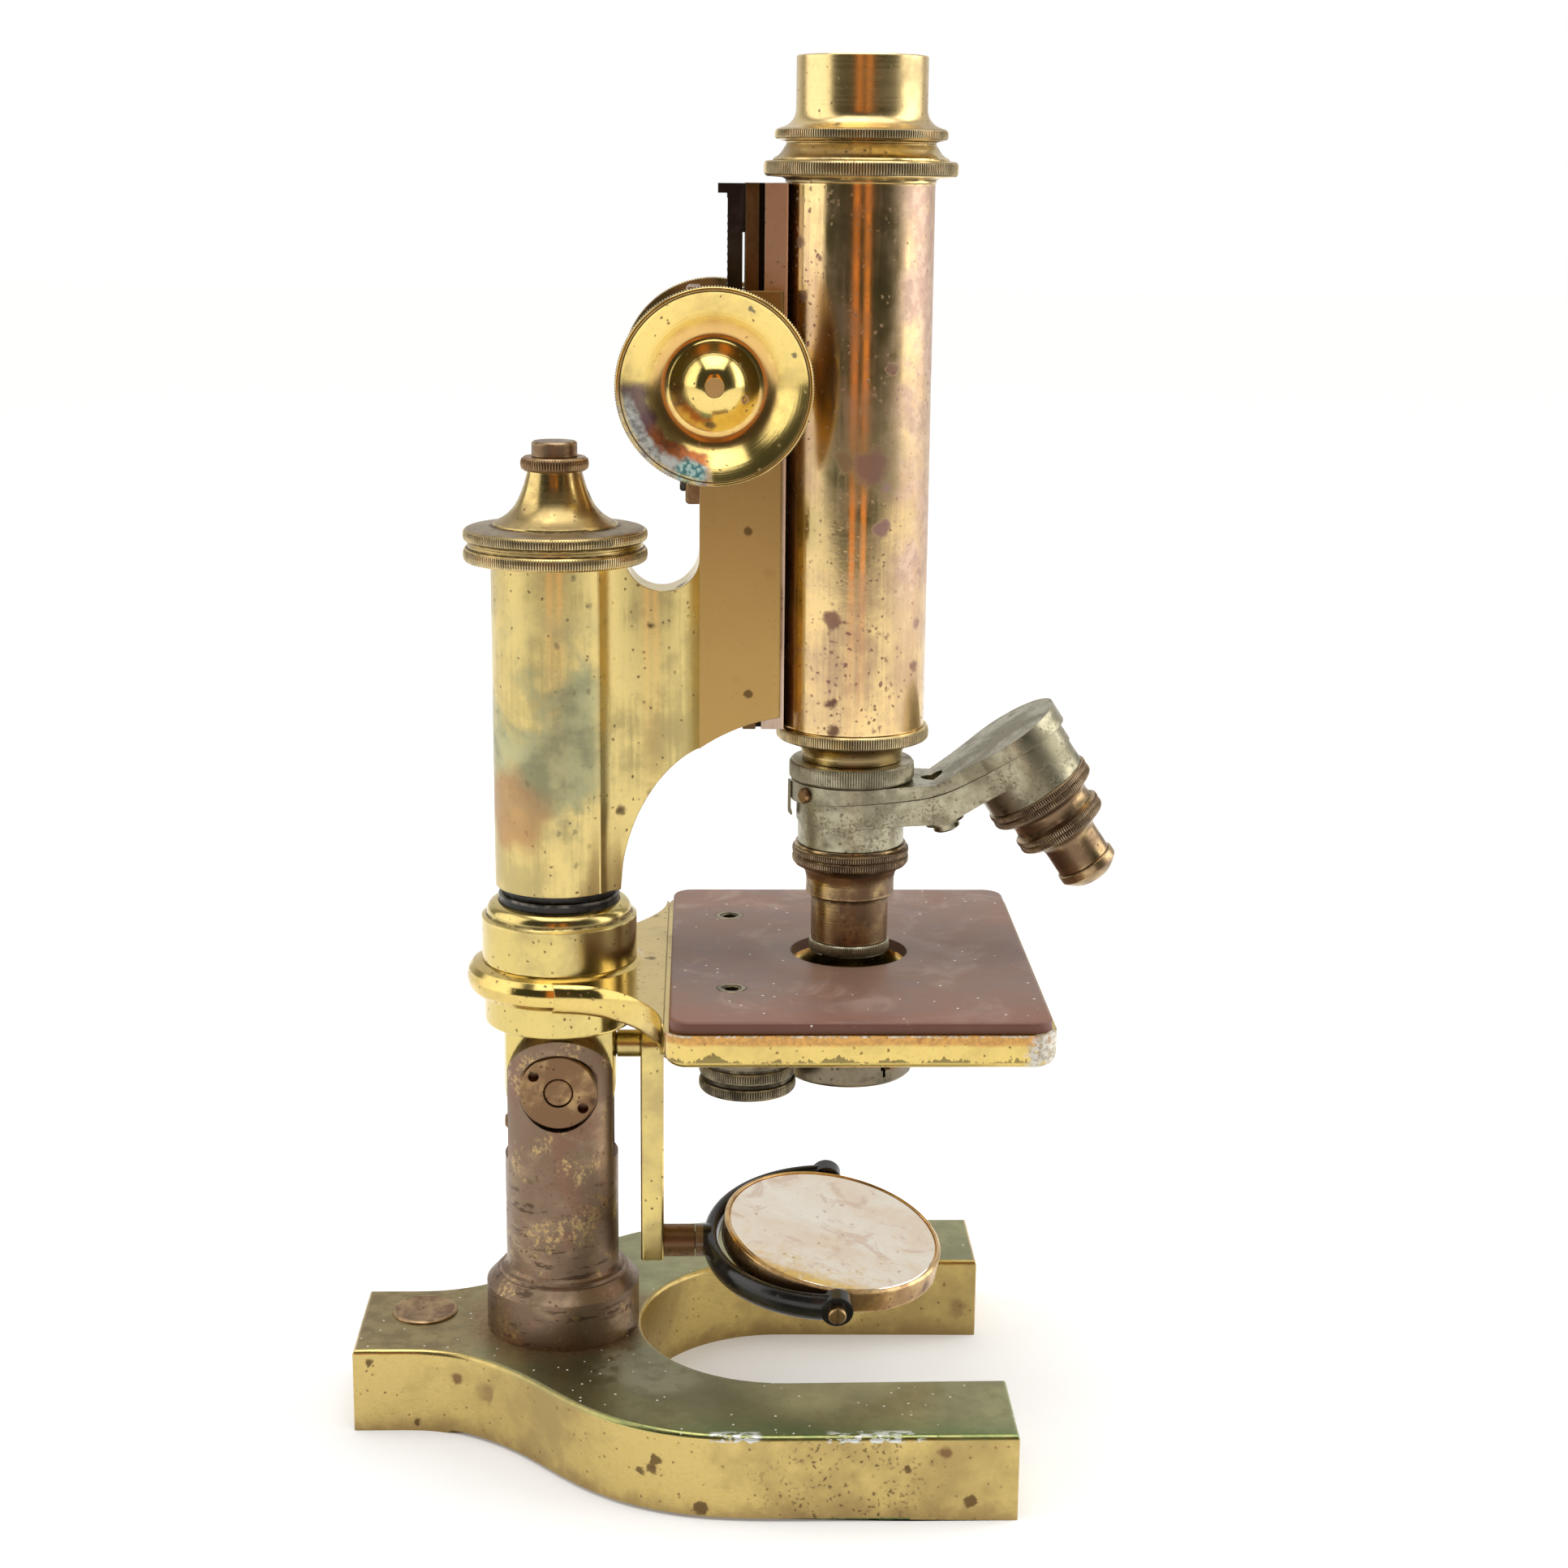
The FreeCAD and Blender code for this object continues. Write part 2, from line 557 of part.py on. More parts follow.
def tail_bar_shape():
    bar = box(BAR_REAR, BAR_FRONT, -BAR_HALF, BAR_HALF, 36.2, dim.tail_pin_z)
    head = cylinder(BAR_HALF, 5.2, (BAR_REAR, 0, dim.tail_pin_z), X_AXIS)
    bar = bar.fuse(head).removeSplitter()
    bar = fillet(bar, 0.7, lambda b: b.ZLength > 30.0)
    return cut_all(bar, cylinder(2.4 + dim.run, 20, (-50, 0, dim.tail_pin_z), X_AXIS),
                   cylinder(2.4, 20, (-50, 0, dim.mirror_z), X_AXIS))


def mirror_arm_shape():
    """Socket for the fork, with a spigot that fills the hole in the tail bar."""
    arm = turned([(2.05, 0.02), (3.7, 0.02), (3.7, 7.05), (2.05, 7.05)])
    arm = arm.fuse(turned([(0, -5.2), (2.36, -5.2), (2.36, 0.02), (3.0, 0.02), (3.0, 0.6),
                           (0, 0.6)]))
    arm = arm.cut(cylinder(2.05, 20, (0, 0, 0.6)))
    arm.rotate(ORIGIN, Vec(0, 1, 0), 90)
    return arm


def mirror_fork_shape():
    inside, outside = dim.fork_in, dim.fork_out
    thick = outside - inside
    section = Part.Ellipse(ORIGIN, 3.2, thick / 2.0).toShape()
    section.rotate(ORIGIN, Vec(0, 0, 1), 90)      # major axis along Y
    section.rotate(ORIGIN, Vec(0, 1, 0), 90)      # section stands in the YZ plane
    section.rotate(ORIGIN, Vec(1, 0, 0), 90)      # major axis along Z
    section.translate(Vec(0, (inside + outside) / 2.0, 0))
    fork = Part.Face(Part.Wire(section)).revolve(ORIGIN, Vec(0, 0, 1), 180)
    for y in (-outside, inside):
        fork = fork.fuse(cylinder(3.6, thick, (0, y, 0), Y_AXIS))
    fork = fork.fuse(cylinder(3.7, 3.6, (-31.2, 0, 0), X_AXIS))
    fork = fork.fuse(cylinder(2.0, 6.0, (-37.0, 0, 0), X_AXIS))
    return cut_all(fork, cylinder(inside, 20, (0, 0, -10)),
                   cylinder(1.22, 80, (0, -40, 0), Y_AXIS))


def slotted_screw(profile, slot_half, slot_low, slot_high):
    return turned(profile).cut(box(-slot_half, slot_half, -3, 3, slot_low, slot_high))


def fork_screws_shape():
    seat = dim.fork_out
    screws = []
    for side in (-1, 1):
        screw = slotted_screw(
            [(0, 24.3), (1.2, 24.3), (1.2, seat + 0.02), (2.0, seat + 0.02), (2.0, seat + 1.6),
             (1.7, seat + 2.0), (0, seat + 2.0)], 0.3, seat + 1.4, seat + 3)
        screw.rotate(ORIGIN, Vec(1, 0, 0), -90.0 * side)
        screws.append(screw)
    return Part.makeCompound(screws)


def mirror_cell_shape():
    """Ring with a thin middle wall between the two glasses."""
    rad = dim.mirror_rad
    cell = turned([
        (0, -0.5), (rad - 1.0, -0.5), (rad - 1.0, -2.9), (rad - 0.4, -2.9), (rad, -2.4),
        (rad, 2.4), (rad - 0.4, 2.9), (rad - 1.0, 2.9), (rad - 1.0, 0.5), (0, 0.5)])
    return cut_all(cell, cylinder(1.25, 80, (0, 23.9, 0), Y_AXIS),
                   cylinder(1.25, 80, (0, -23.9, 0), (0, -1, 0)))


lathe("tail_pivot_pin", [
    (0, -6.0), (2.5, -6.0), (2.5, 0.75), (3.1, 0.75), (3.1, 5.95), (2.4, 5.95), (2.4, 11.3),
    (3.4, 11.3), (3.4, 12.4), (2.9, 12.9), (0, 12.9)],
    ("col_x+12.0", 0, "tail_pin_z"), facing(1, 0, 0))
solid("tail_bar", tail_bar_shape())
solid("mirror_arm", mirror_arm_shape(), (BAR_FRONT, 0, "mirror_z"))
solid("mirror_fork", mirror_fork_shape(), AT_MIRROR, FORK_TURN)
solid("fork_screws", fork_screws_shape(), AT_MIRROR, FORK_TURN)
solid("mirror_cell", mirror_cell_shape(), AT_MIRROR, MIRROR_TURN)
lathe("mirror_flat_glass", [(0, 0.52), (GLASS_RAD, 0.52), (GLASS_RAD, 2.6), (0, 2.6)],
      AT_MIRROR, MIRROR_TURN)
lathe("mirror_concave_glass", [
    (0, -1.4), (8, -1.5), (16, -1.9), (21, -2.3), (dim.mirror_rad - 1.6, -2.6),
    (GLASS_RAD, -2.6), (GLASS_RAD, -0.52), (0, -0.52)], AT_MIRROR, MIRROR_TURN)

# ---------------------------------------------------------------- substage iris
IRIS_TOP = 95.0
IRIS_BORE = 9.0
SWING_THICK = 3.2       # swing arm on top of the housing
SWING_END_RAD = 6.5     # end of the swing arm round its pivot
WINDOW_DEG = (-62.0, -2.0)
WINDOW_STEPS = 12


def iris_mount_shape():
    rad, low = dim.iris_rad, dim.iris_low
    pivot_x, pivot_y = dim.iris_px, dim.iris_py
    housing = turned([
        (IRIS_BORE, low), (rad - 0.6, low), (rad, low + 0.6), (rad, IRIS_TOP - 0.6),
        (rad - 0.6, IRIS_TOP), (IRIS_BORE, IRIS_TOP)])
    # (side_x, side_y) is the unit vector square to the swing arm
    reach = math.hypot(pivot_x, pivot_y)
    side_x, side_y = -pivot_y / reach, pivot_x / reach
    end_x, end_y = side_x * SWING_END_RAD, side_y * SWING_END_RAD
    swing = flat_slab([
        (side_x * 9, side_y * 9), (pivot_x + end_x, pivot_y + end_y),
        (pivot_x - end_x, pivot_y - end_y), (-side_x * 9, -side_y * 9)],
        IRIS_TOP, SWING_THICK)
    swing = swing.fuse(cylinder(13.0, SWING_THICK, (0, 0, IRIS_TOP)))
    swing = swing.fuse(cylinder(SWING_END_RAD, SWING_THICK, (pivot_x, pivot_y, IRIS_TOP)))
    # wedge that opens the wall for the sweep of the lever
    start, end = [math.radians(angle) for angle in WINDOW_DEG]
    fan = [(0.0, 0.0)]
    for i in range(WINDOW_STEPS + 1):
        angle = start + (end - start) * i / WINDOW_STEPS
        fan.append((20 * math.cos(angle), 20 * math.sin(angle)))
    slit = box(0, 20, -0.35, 0.35, low + 1.8, low + 4.0)
    slit.rotate(ORIGIN, Vec(0, 0, 1), -58.5)
    return cut_all(housing.fuse(swing),
                   cylinder(IRIS_BORE, 40, (0, 0, 70)),
                   cylinder(4.0 + dim.run, 40, (pivot_x, pivot_y, 70)),
                   cylinder(13.3, 3.4, (0, 0, low + 2.0)),
                   flat_slab(fan, low + 3.4, 1.8),
                   slit)


def washer(bore, rad, low, high):
    return turned([(bore, low), (rad, low), (rad, high), (bore, high)])


def iris_lever_shape():
    pin = cylinder(0.65, 4.2, (11.8, 0, dim.iris_low + 4.3), X_AXIS)
    pin.rotate(ORIGIN, Vec(0, 0, 1), -54.5)
    return washer(10.0, 13.0, dim.iris_low + 3.5, dim.iris_low + 5.0).fuse(pin)


solid("iris_mount", iris_mount_shape())
solid("iris_leaves", washer(4.0, 13.1, dim.iris_low + 2.1, dim.iris_low + 2.7))
solid("iris_lever", iris_lever_shape())

# ---------------------------------------------------------------- arm with column sleeve
ARCH_X = dim.col_x + dim.sleeve_rad + dim.arch_rad - 0.05
ARCH_Z = 124.0
NOTCH_RAD = 8.0       # hollow between the sleeve and the rear of the block
NOTCH_Z = 198.3
WEB_REAR = -54.9      # rear end of the hollows in the flanks of the web
WEB_HALF_REAR = 10.4
WEB_HALF_MID = 4.7
WEB_HALF_FRONT = 9.6
# dovetail-like slide of the body tube: x of its rear, of its lip and of its neck
SLIDE_REAR = -24.2
SLIDE_LIP = -21.4
SLIDE_NECK = -20.2
SLIDE_HALF = 7.5
SLIDE_NECK_HALF = 5.0
HOUSING_REAR = -36.6
# (y, z) of the four screws of the pinion housing
HOUSING_SCREWS = [(y, z) for z in (213.6, 250.4) for y in (-5.2, 5.2)]


def arm_side_face():
    """Side view of the arm, in the plane y = -20."""
    def at(x, z):
        return Vec(x, -20, z)

    low, high, rad = dim.sleeve_low, dim.sleeve_high, dim.arch_rad
    front, rear, top = dim.block_front, dim.block_rear, dim.block_top
    arch_foot = at(ARCH_X - math.sqrt(rad ** 2 - (low - ARCH_Z) ** 2), low)
    arch_end = at(front, ARCH_Z + math.sqrt(rad ** 2 - (front - ARCH_X) ** 2))
    angle = math.radians(180 - 42)
    arch_mid = at(ARCH_X + rad * math.cos(angle), ARCH_Z + rad * math.sin(angle))
    notch_x = rear - NOTCH_RAD
    notch_end = at(notch_x - math.sqrt(NOTCH_RAD ** 2 - (NOTCH_Z - high) ** 2), high)
    edges = lines(at(dim.col_x, low), arch_foot)
    edges.append(arc(arch_foot, arch_mid, arch_end))
    edges += lines(arch_end, at(front, top), at(rear, top), at(rear, NOTCH_Z))
    edges.append(arc(at(rear, NOTCH_Z), at(notch_x, NOTCH_Z - NOTCH_RAD), notch_end))
    edges += lines(notch_end, at(dim.col_x, high), at(dim.col_x, low))
    return Part.Face(Part.Wire(edges))


def arm_plan_face():
    """Plan of the arm: the web is hollowed on both flanks between column and block."""
    def at(x, y):
        return Vec(x, y, 100)

    column, front, rear, half = dim.col_x, dim.block_front, dim.block_rear, dim.block_half
    middle = (WEB_REAR + rear) / 2.0
    edges = lines(at(column, WEB_HALF_REAR), at(WEB_REAR, WEB_HALF_REAR))
    edges.append(arc(at(WEB_REAR, WEB_HALF_REAR), at(middle, WEB_HALF_MID),
                     at(rear, WEB_HALF_FRONT)))
    edges += lines(at(rear, WEB_HALF_FRONT), at(rear, half), at(front, half),
                   at(front, -half), at(rear, -half), at(rear, -WEB_HALF_FRONT))
    edges.append(arc(at(rear, -WEB_HALF_FRONT), at(middle, -WEB_HALF_MID),
                     at(WEB_REAR, -WEB_HALF_REAR)))
    edges += lines(at(WEB_REAR, -WEB_HALF_REAR), at(column, -WEB_HALF_REAR),
                   at(column, WEB_HALF_REAR))
    return Part.Face(Part.Wire(edges))


def gear_well():
    return cylinder(3.9, 6.4, (dim.pinion_x, -3.2, dim.pinion_z), Y_AXIS)


def groove(rear, front, half):
    return box(rear, front, -half, half, 100, 300)


def arm_shape():
    side = arm_side_face().extrude(Vec(0, 40, 0))
    cast = arm_plan_face().extrude(Vec(0, 0, 170)).common(side)
    # guards the rounding of the block's upright edges: they stay sharp if it fails
    try:
        rounded = fillet(cast, 0.6, lambda b: b.ZLength > 60
                         and abs(abs(b.YMax) - dim.block_half) < 0.01
                         and abs(b.YLength) < 0.01)
        if rounded.isValid():
            cast = rounded
    except Exception:
        pass
    column, low, run = dim.col_x, dim.sleeve_low, dim.run
    arm = cast.fuse(cylinder(dim.sleeve_rad, dim.sleeve_high - low, (column, 0, low)))
    arm = cut_all(
        arm,
        cylinder(dim.neck_rad + run, 186.0 - low, (column, 0, low)),
        cylinder(2.6, 40, (column, 0, 180)),
        groove(SLIDE_NECK - run, 0, SLIDE_HALF + run),
        groove(-21.5, -20.0, SLIDE_NECK_HALF + run),
        groove(-24.3, SLIDE_LIP + run, SLIDE_HALF + run),
        groove(-28.4, -24.0, 3.1),
        gear_well(),
        cylinder(dim.shaft_rad + run, 60, (dim.pinion_x, -30, dim.pinion_z), Y_AXIS),
        *[cylinder(0.92, 5.0, (dim.block_rear - 0.1, y, z), X_AXIS)
          for y, z in HOUSING_SCREWS])
    return arm.removeSplitter()


def pinion_housing_shape():
    housing = box(HOUSING_REAR, dim.block_rear - 0.03, -8.0, 8.0, 209.4, 254.6)
    housing = fillet(housing, 0.9, lambda b: b.XMax < HOUSING_REAR + 0.01)
    return cut_all(housing, gear_well(), *[cylinder(0.95, 10.0, (-40, y, z), X_AXIS)
                                           for y, z in HOUSING_SCREWS])


def housing_screws_shape():
    screws = []
    for y, z in HOUSING_SCREWS:
        screw = slotted_screw([(0, -5.6), (0.9, -5.6), (0.9, 0.02), (1.8, 0.02), (1.8, 0.8),
                               (1.4, 1.2), (0, 1.2)], 0.25, 0.7, 2)
        screw.rotate(ORIGIN, Vec(0, 1, 0), -90)
        screw.translate(Vec(HOUSING_REAR, y, z))
        screws.append(screw)
    return Part.makeCompound(screws)


solid("arm", arm_shape())
solid("pinion_housing", pinion_housing_shape())
solid("housing_screws", housing_screws_shape())

# ---------------------------------------------------------------- fine focus head
lathe("column_collar", [
    (2.6, "sleeve_high+0.02"), (19.2, "sleeve_high+0.02"), ("disc_rad", "sleeve_high+0.5"),
    ("disc_rad", "sleeve_high+2.6"), (19.2, "sleeve_high+3.0"), (18.9, "sleeve_high+3.1"),
    (18.9, "sleeve_high+3.85"), (2.6, "sleeve_high+3.85")], ON_COLUMN)
lathe("fine_focus_head", [
    (2.5, 200.0), (18.9, 200.0), (18.9, 200.6), (19.3, 200.7), ("disc_rad", 201.0),
    ("disc_rad", 202.7), (19.3, 203.1), (18.6, 203.4), (14.4, 203.8), (13.5, 204.3),
    (11.4, 205.1), (9.8, 206.3), (8.5, 207.7), (7.6, 209.2), (7.0, 210.8), (6.4, 212.4),
    (6.0, 213.8), (5.9, 215.5), (2.5, 215.5)], ON_COLUMN)
lathe("fine_lock_ring", [
    (2.5, 215.55), (6.9, 215.55), (7.35, 215.9), (7.35, 218.1), (6.9, 218.5), (2.5, 218.5)],
    ON_COLUMN)
lathe("fine_cap", [
    (2.5, 218.55), (4.9, 218.55), (4.9, 221.3), (4.5, 221.8), (0, 221.8), (0, 220.3),
    (2.5, 220.3)], ON_COLUMN)
lathe("micrometer_screw", [
    (0, 164.0), (1.9, 164.0), (2.45, 165.0), (2.45, 220.2), (0, 220.2)], ON_COLUMN)

# ---------------------------------------------------------------- rack and pinion coarse focus
TEETH = int(dim.gear_teeth)
PITCH_RAD = dim.gear_mod * TEETH / 2.0
PRESSURE = math.radians(20)
BACKLASH = 0.035      # taken off each flank at the pitch line
BASE_RAD = PITCH_RAD * math.cos(PRESSURE)
PITCH = math.pi * dim.gear_mod
SHAFT_HALF = 10.65    # thick part of the pinion shaft
KNOB_Y = 10.7         # inner face of each knob


def involute(angle):
    return math.tan(angle) - angle


def flank_angle(radius):
    """Half angle of a tooth at a radius, measured from its centre line."""
    widest = math.pi / (2 * TEETH) - BACKLASH / PITCH_RAD + involute(PRESSURE)
    if radius <= BASE_RAD:
        return widest
    return widest - involute(math.acos(BASE_RAD / radius))


def pinion_shaft_shape():
    radii = [PITCH_RAD - 0.45, BASE_RAD + 0.001, BASE_RAD + 0.08, PITCH_RAD - 0.05,
             PITCH_RAD + 0.12, PITCH_RAD + 0.27, PITCH_RAD + 0.42]
    outline = []
    for i in range(TEETH):
        centre = 2 * math.pi * i / TEETH
        for side, flank in ((-1, radii), (1, radii[::-1])):
            for radius in flank:
                angle = centre + side * flank_angle(radius)
                outline.append((radius * math.cos(angle), radius * math.sin(angle)))
    gear = upright_slab(outline, -2.15, 4.3)
    gear = gear.fuse(cylinder(dim.shaft_rad, 2 * SHAFT_HALF, (0, -SHAFT_HALF, 0), Y_AXIS))
    return gear.fuse(cylinder(1.9, 51.4, (0, -25.7, 0), Y_AXIS))


def rack_shape():
    """Straight-sided teeth towards -X, with a tooth space on the line of centres."""
    pitch_x = dim.pinion_x + PITCH_RAD
    tip_x, root_x, front_x = pitch_x - 0.33, pitch_x + 0.5, -24.75
    low, high = dim.tube_low + 0.2, dim.tube_high - 0.2
    half, lip_rear, lug_front = 3.0, -29.9, -24.22

    def tooth_half(x):
        return PITCH / 4.0 - BACKLASH + (x - pitch_x) * math.tan(PRESSURE)

    root_half, tip_half = tooth_half(root_x), tooth_half(tip_x)
    first = int(math.ceil((low - dim.pinion_z) / PITCH - 0.5))
    last = int(math.floor((high - 4.0 - dim.pinion_z) / PITCH - 0.5))
    outline = [(front_x, low), (root_x, low)]
    for i in range(first, last):
        z = dim.pinion_z + (i + 0.5) * PITCH
        # a tooth that would overrun the lower end is left out
        if z - root_half <= low + 0.02:
            continue
        outline += [(root_x, z - root_half), (tip_x, z - tip_half), (tip_x, z + tip_half),
                    (root_x, z + root_half)]
    outline += [(root_x, high - 3.0), (-28.0, high - 3.0), (-28.0, high - 2.0),
                (lip_rear, high - 2.0), (lip_rear, high), (lug_front, high),
                (lug_front, high - 10.0), (front_x, high - 10.0)]
    rack = upright_slab(outline, -half, 2 * half)
    # plain strips along both sides of the teeth
    for y in (-half, half - 0.6):
        rack = rack.fuse(box(-27.85, -25.0, y, y + 0.6, low, high - 2.5))
    return rack.removeSplitter()


def tube_slide_shape():
    near_side = [(SLIDE_REAR, -SLIDE_HALF), (SLIDE_LIP, -SLIDE_HALF),
                 (SLIDE_LIP, -SLIDE_NECK_HALF), (SLIDE_NECK, -SLIDE_NECK_HALF),
                 (SLIDE_NECK, -SLIDE_HALF), (-15.35, -SLIDE_HALF)]
    outline = near_side + [(x, -y) for x, y in near_side[::-1]]
    slide = flat_slab(outline, dim.tube_low + 0.05, dim.tube_high - dim.tube_low - 0.15)
    return slide.cut(cylinder(dim.tube_rad + 0.01, 400, (0, 0, 0)))


# (radius, distance outwards from the inner face)
KNOB = [
    (1.95, 0.0), (6.0, 0.0), (6.1, 1.8), (6.4, 3.6), (7.2, 5.4), (8.6, 6.9), (10.6, 7.9),
    (13.0, 8.9), (15.4, 10.0), (17.6, 10.9), (19.2, 11.4), ("knob_rad", 11.9),
    ("knob_rad", 14.0), (19.9, 14.5), (19.4, 14.5), (19.1, 14.3), (17.2, 13.2), (15.2, 11.85),
    (13.4, 10.55), (12.6, 10.05), (11.8, 9.65), (11.0, 9.4), (10.3, 9.35), (9.7, 9.5),
    (9.1, 9.9), (8.5, 10.4), (7.2, 11.6), (6.4, 12.35), (5.6, 13.05), (4.8, 13.7),
    (4.0, 14.25), (3.2, 14.7), (2.5, 14.95), (1.95, 15.05)]

solid("pinion_shaft", pinion_shaft_shape(), ("pinion_x", 0, "pinion_z"))
for label, side in (("coarse_knob_near", -1), ("coarse_knob_far", 1)):
    lathe(label, KNOB, ("pinion_x", side * KNOB_Y, "pinion_z"), facing(0, side, 0))
solid("rack", rack_shape())
solid("tube_slide", tube_slide_shape())

# ---------------------------------------------------------------- body tube, draw tube, eyepiece
lathe("body_tube", [
    ("tube_bore", "tube_low"), ("tube_rad", "tube_low"), ("tube_rad", "tube_high"),
    ("tube_bore", "tube_high")])
lathe("tube_top_ring", [
    ("draw_rad+run", 262.0), ("tube_bore-0.03", 262.0), ("tube_bore-0.03", "tube_high+0.05"),
    (15.8, "tube_high+0.05"), (15.8, 277.3), (19.9, 277.4), (20.35, 277.8), (20.35, 279.8),
    (19.9, 280.2), (19.3, 280.4), ("draw_rad+run", 280.4)])
lathe("draw_tube", [
    ("draw_bore", 172.0), ("draw_rad", 172.0), ("draw_rad", 280.45), (19.0, 280.45),
    (18.7, 280.8), (17.6, 281.3), (16.8, 281.9), (16.2, 282.6), (15.9, 283.4), (15.8, 283.9),
    ("draw_bore", 283.9)])
lathe("eyepiece_shell", [
    (10.85, 236.0), ("eye_rad", 236.0), ("eye_rad", 283.95), (15.9, 283.95), (16.2, 284.4),
    (17.6, 284.7), (18.1, 285.0), (18.1, 286.5), (17.7, 286.9), (16.9, 287.1), (15.6, 287.7),
    (14.6, 288.5), (14.0, 289.4), ("cap_rad", 290.4), ("cap_rad", "eye_high-0.3"),
    ("cap_rad-0.3", "eye_high"), (12.9, "eye_high"), (12.9, "eye_high-2.4"),
    (5.0, "eye_high-2.4"), (5.0, 297.5), (7.05, 297.5), (7.05, 294.5), (10.85, 294.5)])
lathe("eye_lens", [
    (0, 295.0), (7.0, 295.0), (7.0, 296.0), (5.6, 296.6), (3.4, 297.1), (0, 297.4)])
lathe("field_lens", [
    (0, 236.6), (10.8, 236.6), (10.8, 237.6), (8.4, 238.6), (5.0, 239.5), (0, 240.0)])
lathe("eyepiece_stop", [(7.0, 262.0), (10.8, 262.0), (10.8, 263.0), (7.0, 263.0)])

# ---------------------------------------------------------------- nosepiece
# Its parts are drawn along -Z from the apex, then turned onto one of three axes.
APEX = Vec(0, 0, dim.apex_z)
FIRST_AXIS = Rot()                                         # objective in use
PIVOT_AXIS = Rot(Vec(0, 1, 0), -dim.nose_half_deg)
SECOND_AXIS = Rot(Vec(0, 1, 0), -2 * dim.nose_half_deg)    # objective swung to the front
FACE = dim.face_d
SLOPE = math.tan(math.radians(dim.nose_half_deg))
REACH = FACE * SLOPE                                       # objective to pivot, at the face
HUB = FACE / math.cos(math.radians(dim.nose_half_deg))     # apex to face, along the pivot
PARTING = 0.06        # each plate's clearance from the parting cone
CLIP_ANGLE = math.radians(218.5)
CLIP_X, CLIP_Y = math.cos(CLIP_ANGLE), math.sin(CLIP_ANGLE)
CLIP_Z = 146.1


def on_axis(shape, rotation):
    out = shape.copy()
    out.Placement = FreeCAD.Placement(APEX, rotation)
    return out


def down(profile):
    """A (radius, distance below the apex) profile as (radius, height)."""
    return [(r, -distance) for r, distance in profile]


def nose_half(rad, waist, start, end, side):
    """Half of a plate, square to its objective: a disc and a tapering web to the pivot."""
    disc = cylinder(rad, end - start, (0, 0, -end))
    far_edge = [(0.15 * rad * side, 0.985 * rad), (0.62 * REACH * side, waist + 1.2),
                (REACH * side, waist), ((REACH + 6.0) * side, waist)]
    web = far_edge + [(x, -y) for x, y in far_edge[::-1]] + [(-0.1 * side, 0.0)]
    return disc.fuse(flat_slab(web, -end, end - start))


def nose_plate(rad, waist, start, end):
    """Two halves that meet in the plane through the pivot axis."""
    first = on_axis(nose_half(rad, waist, start, end, 1), FIRST_AXIS)
    first = first.common(on_axis(box(-90, 0, -40, 40, -90, 0), PIVOT_AXIS))
    second = on_axis(nose_half(rad, waist, start, end, -1), SECOND_AXIS)
    second = second.common(on_axis(box(0, 90, -40, 40, -90, 0), PIVOT_AXIS))
    return first.fuse(second).removeSplitter()


def parting_side(flat, clearance):
    """The space between the parting cone and a flat end at that distance from the apex."""
    cone = HUB + clearance
    if flat < cone:
        profile = [(0, flat), (60, flat), (60, cone - 60 * SLOPE), (0, cone)]
    else:
        profile = [(0, cone), (60, cone - 60 * SLOPE), (60, flat), (0, flat)]
    return on_axis(turned(down(profile)), PIVOT_AXIS)


def nose_fixed_shape():
    plate = nose_plate(13.3, 8.4, FACE - 4.6, FACE + 3.0).common(parting_side(20, -PARTING))
    return cut_all(
        plate,
        cylinder(9.92, 10, (0, 0, 141)),
        on_axis(cylinder(2.52, 30, (0, 0, -HUB - 10)), PIVOT_AXIS),
        cylinder(1.0, 6.0, (9.0 * CLIP_X, 9.0 * CLIP_Y, CLIP_Z), (CLIP_X, CLIP_Y, 0)))


def nose_turning_shape():
    plate = nose_plate(12.1, 7.6, FACE - 3.0, FACE + 4.4).common(parting_side(90, PARTING))
    for axis in (FIRST_AXIS, SECOND_AXIS):
        plate = plate.fuse(on_axis(cylinder(11.7, 5.35, (0, 0, -(FACE + 9.7))), axis))
    for axis in (FIRST_AXIS, SECOND_AXIS):
        thread = cylinder(dim.thread_rad, 5.4, (0, 0, -(FACE + 9.75)))
        light_hole = cylinder(8.6, 30, (0, 0, -(FACE + 20)))
        plate = cut_all(plate, on_axis(thread, axis), on_axis(light_hole, axis))
    pivot_hole = cylinder(2.5 + dim.run, 30, (0, 0, -(HUB + 20)))
    head_seat = cylinder(4.6, 10, (0, 0, -(HUB + 14.4)))
    plate = cut_all(plate, on_axis(pivot_hole, PIVOT_AXIS), on_axis(head_seat, PIVOT_AXIS))
    return plate.removeSplitter()


def nose_pivot_shape():
    screw = turned(down([
        (0, HUB + 7.4), (2.5, HUB + 7.4), (3.0, HUB + 7.0), (3.0, HUB + 5.5), (4.4, HUB + 5.5),
        (4.4, HUB + 4.45), (2.5, HUB + 4.45), (2.5, HUB - 3.2), (0, HUB - 3.2)]))
    return on_axis(screw, PIVOT_AXIS)


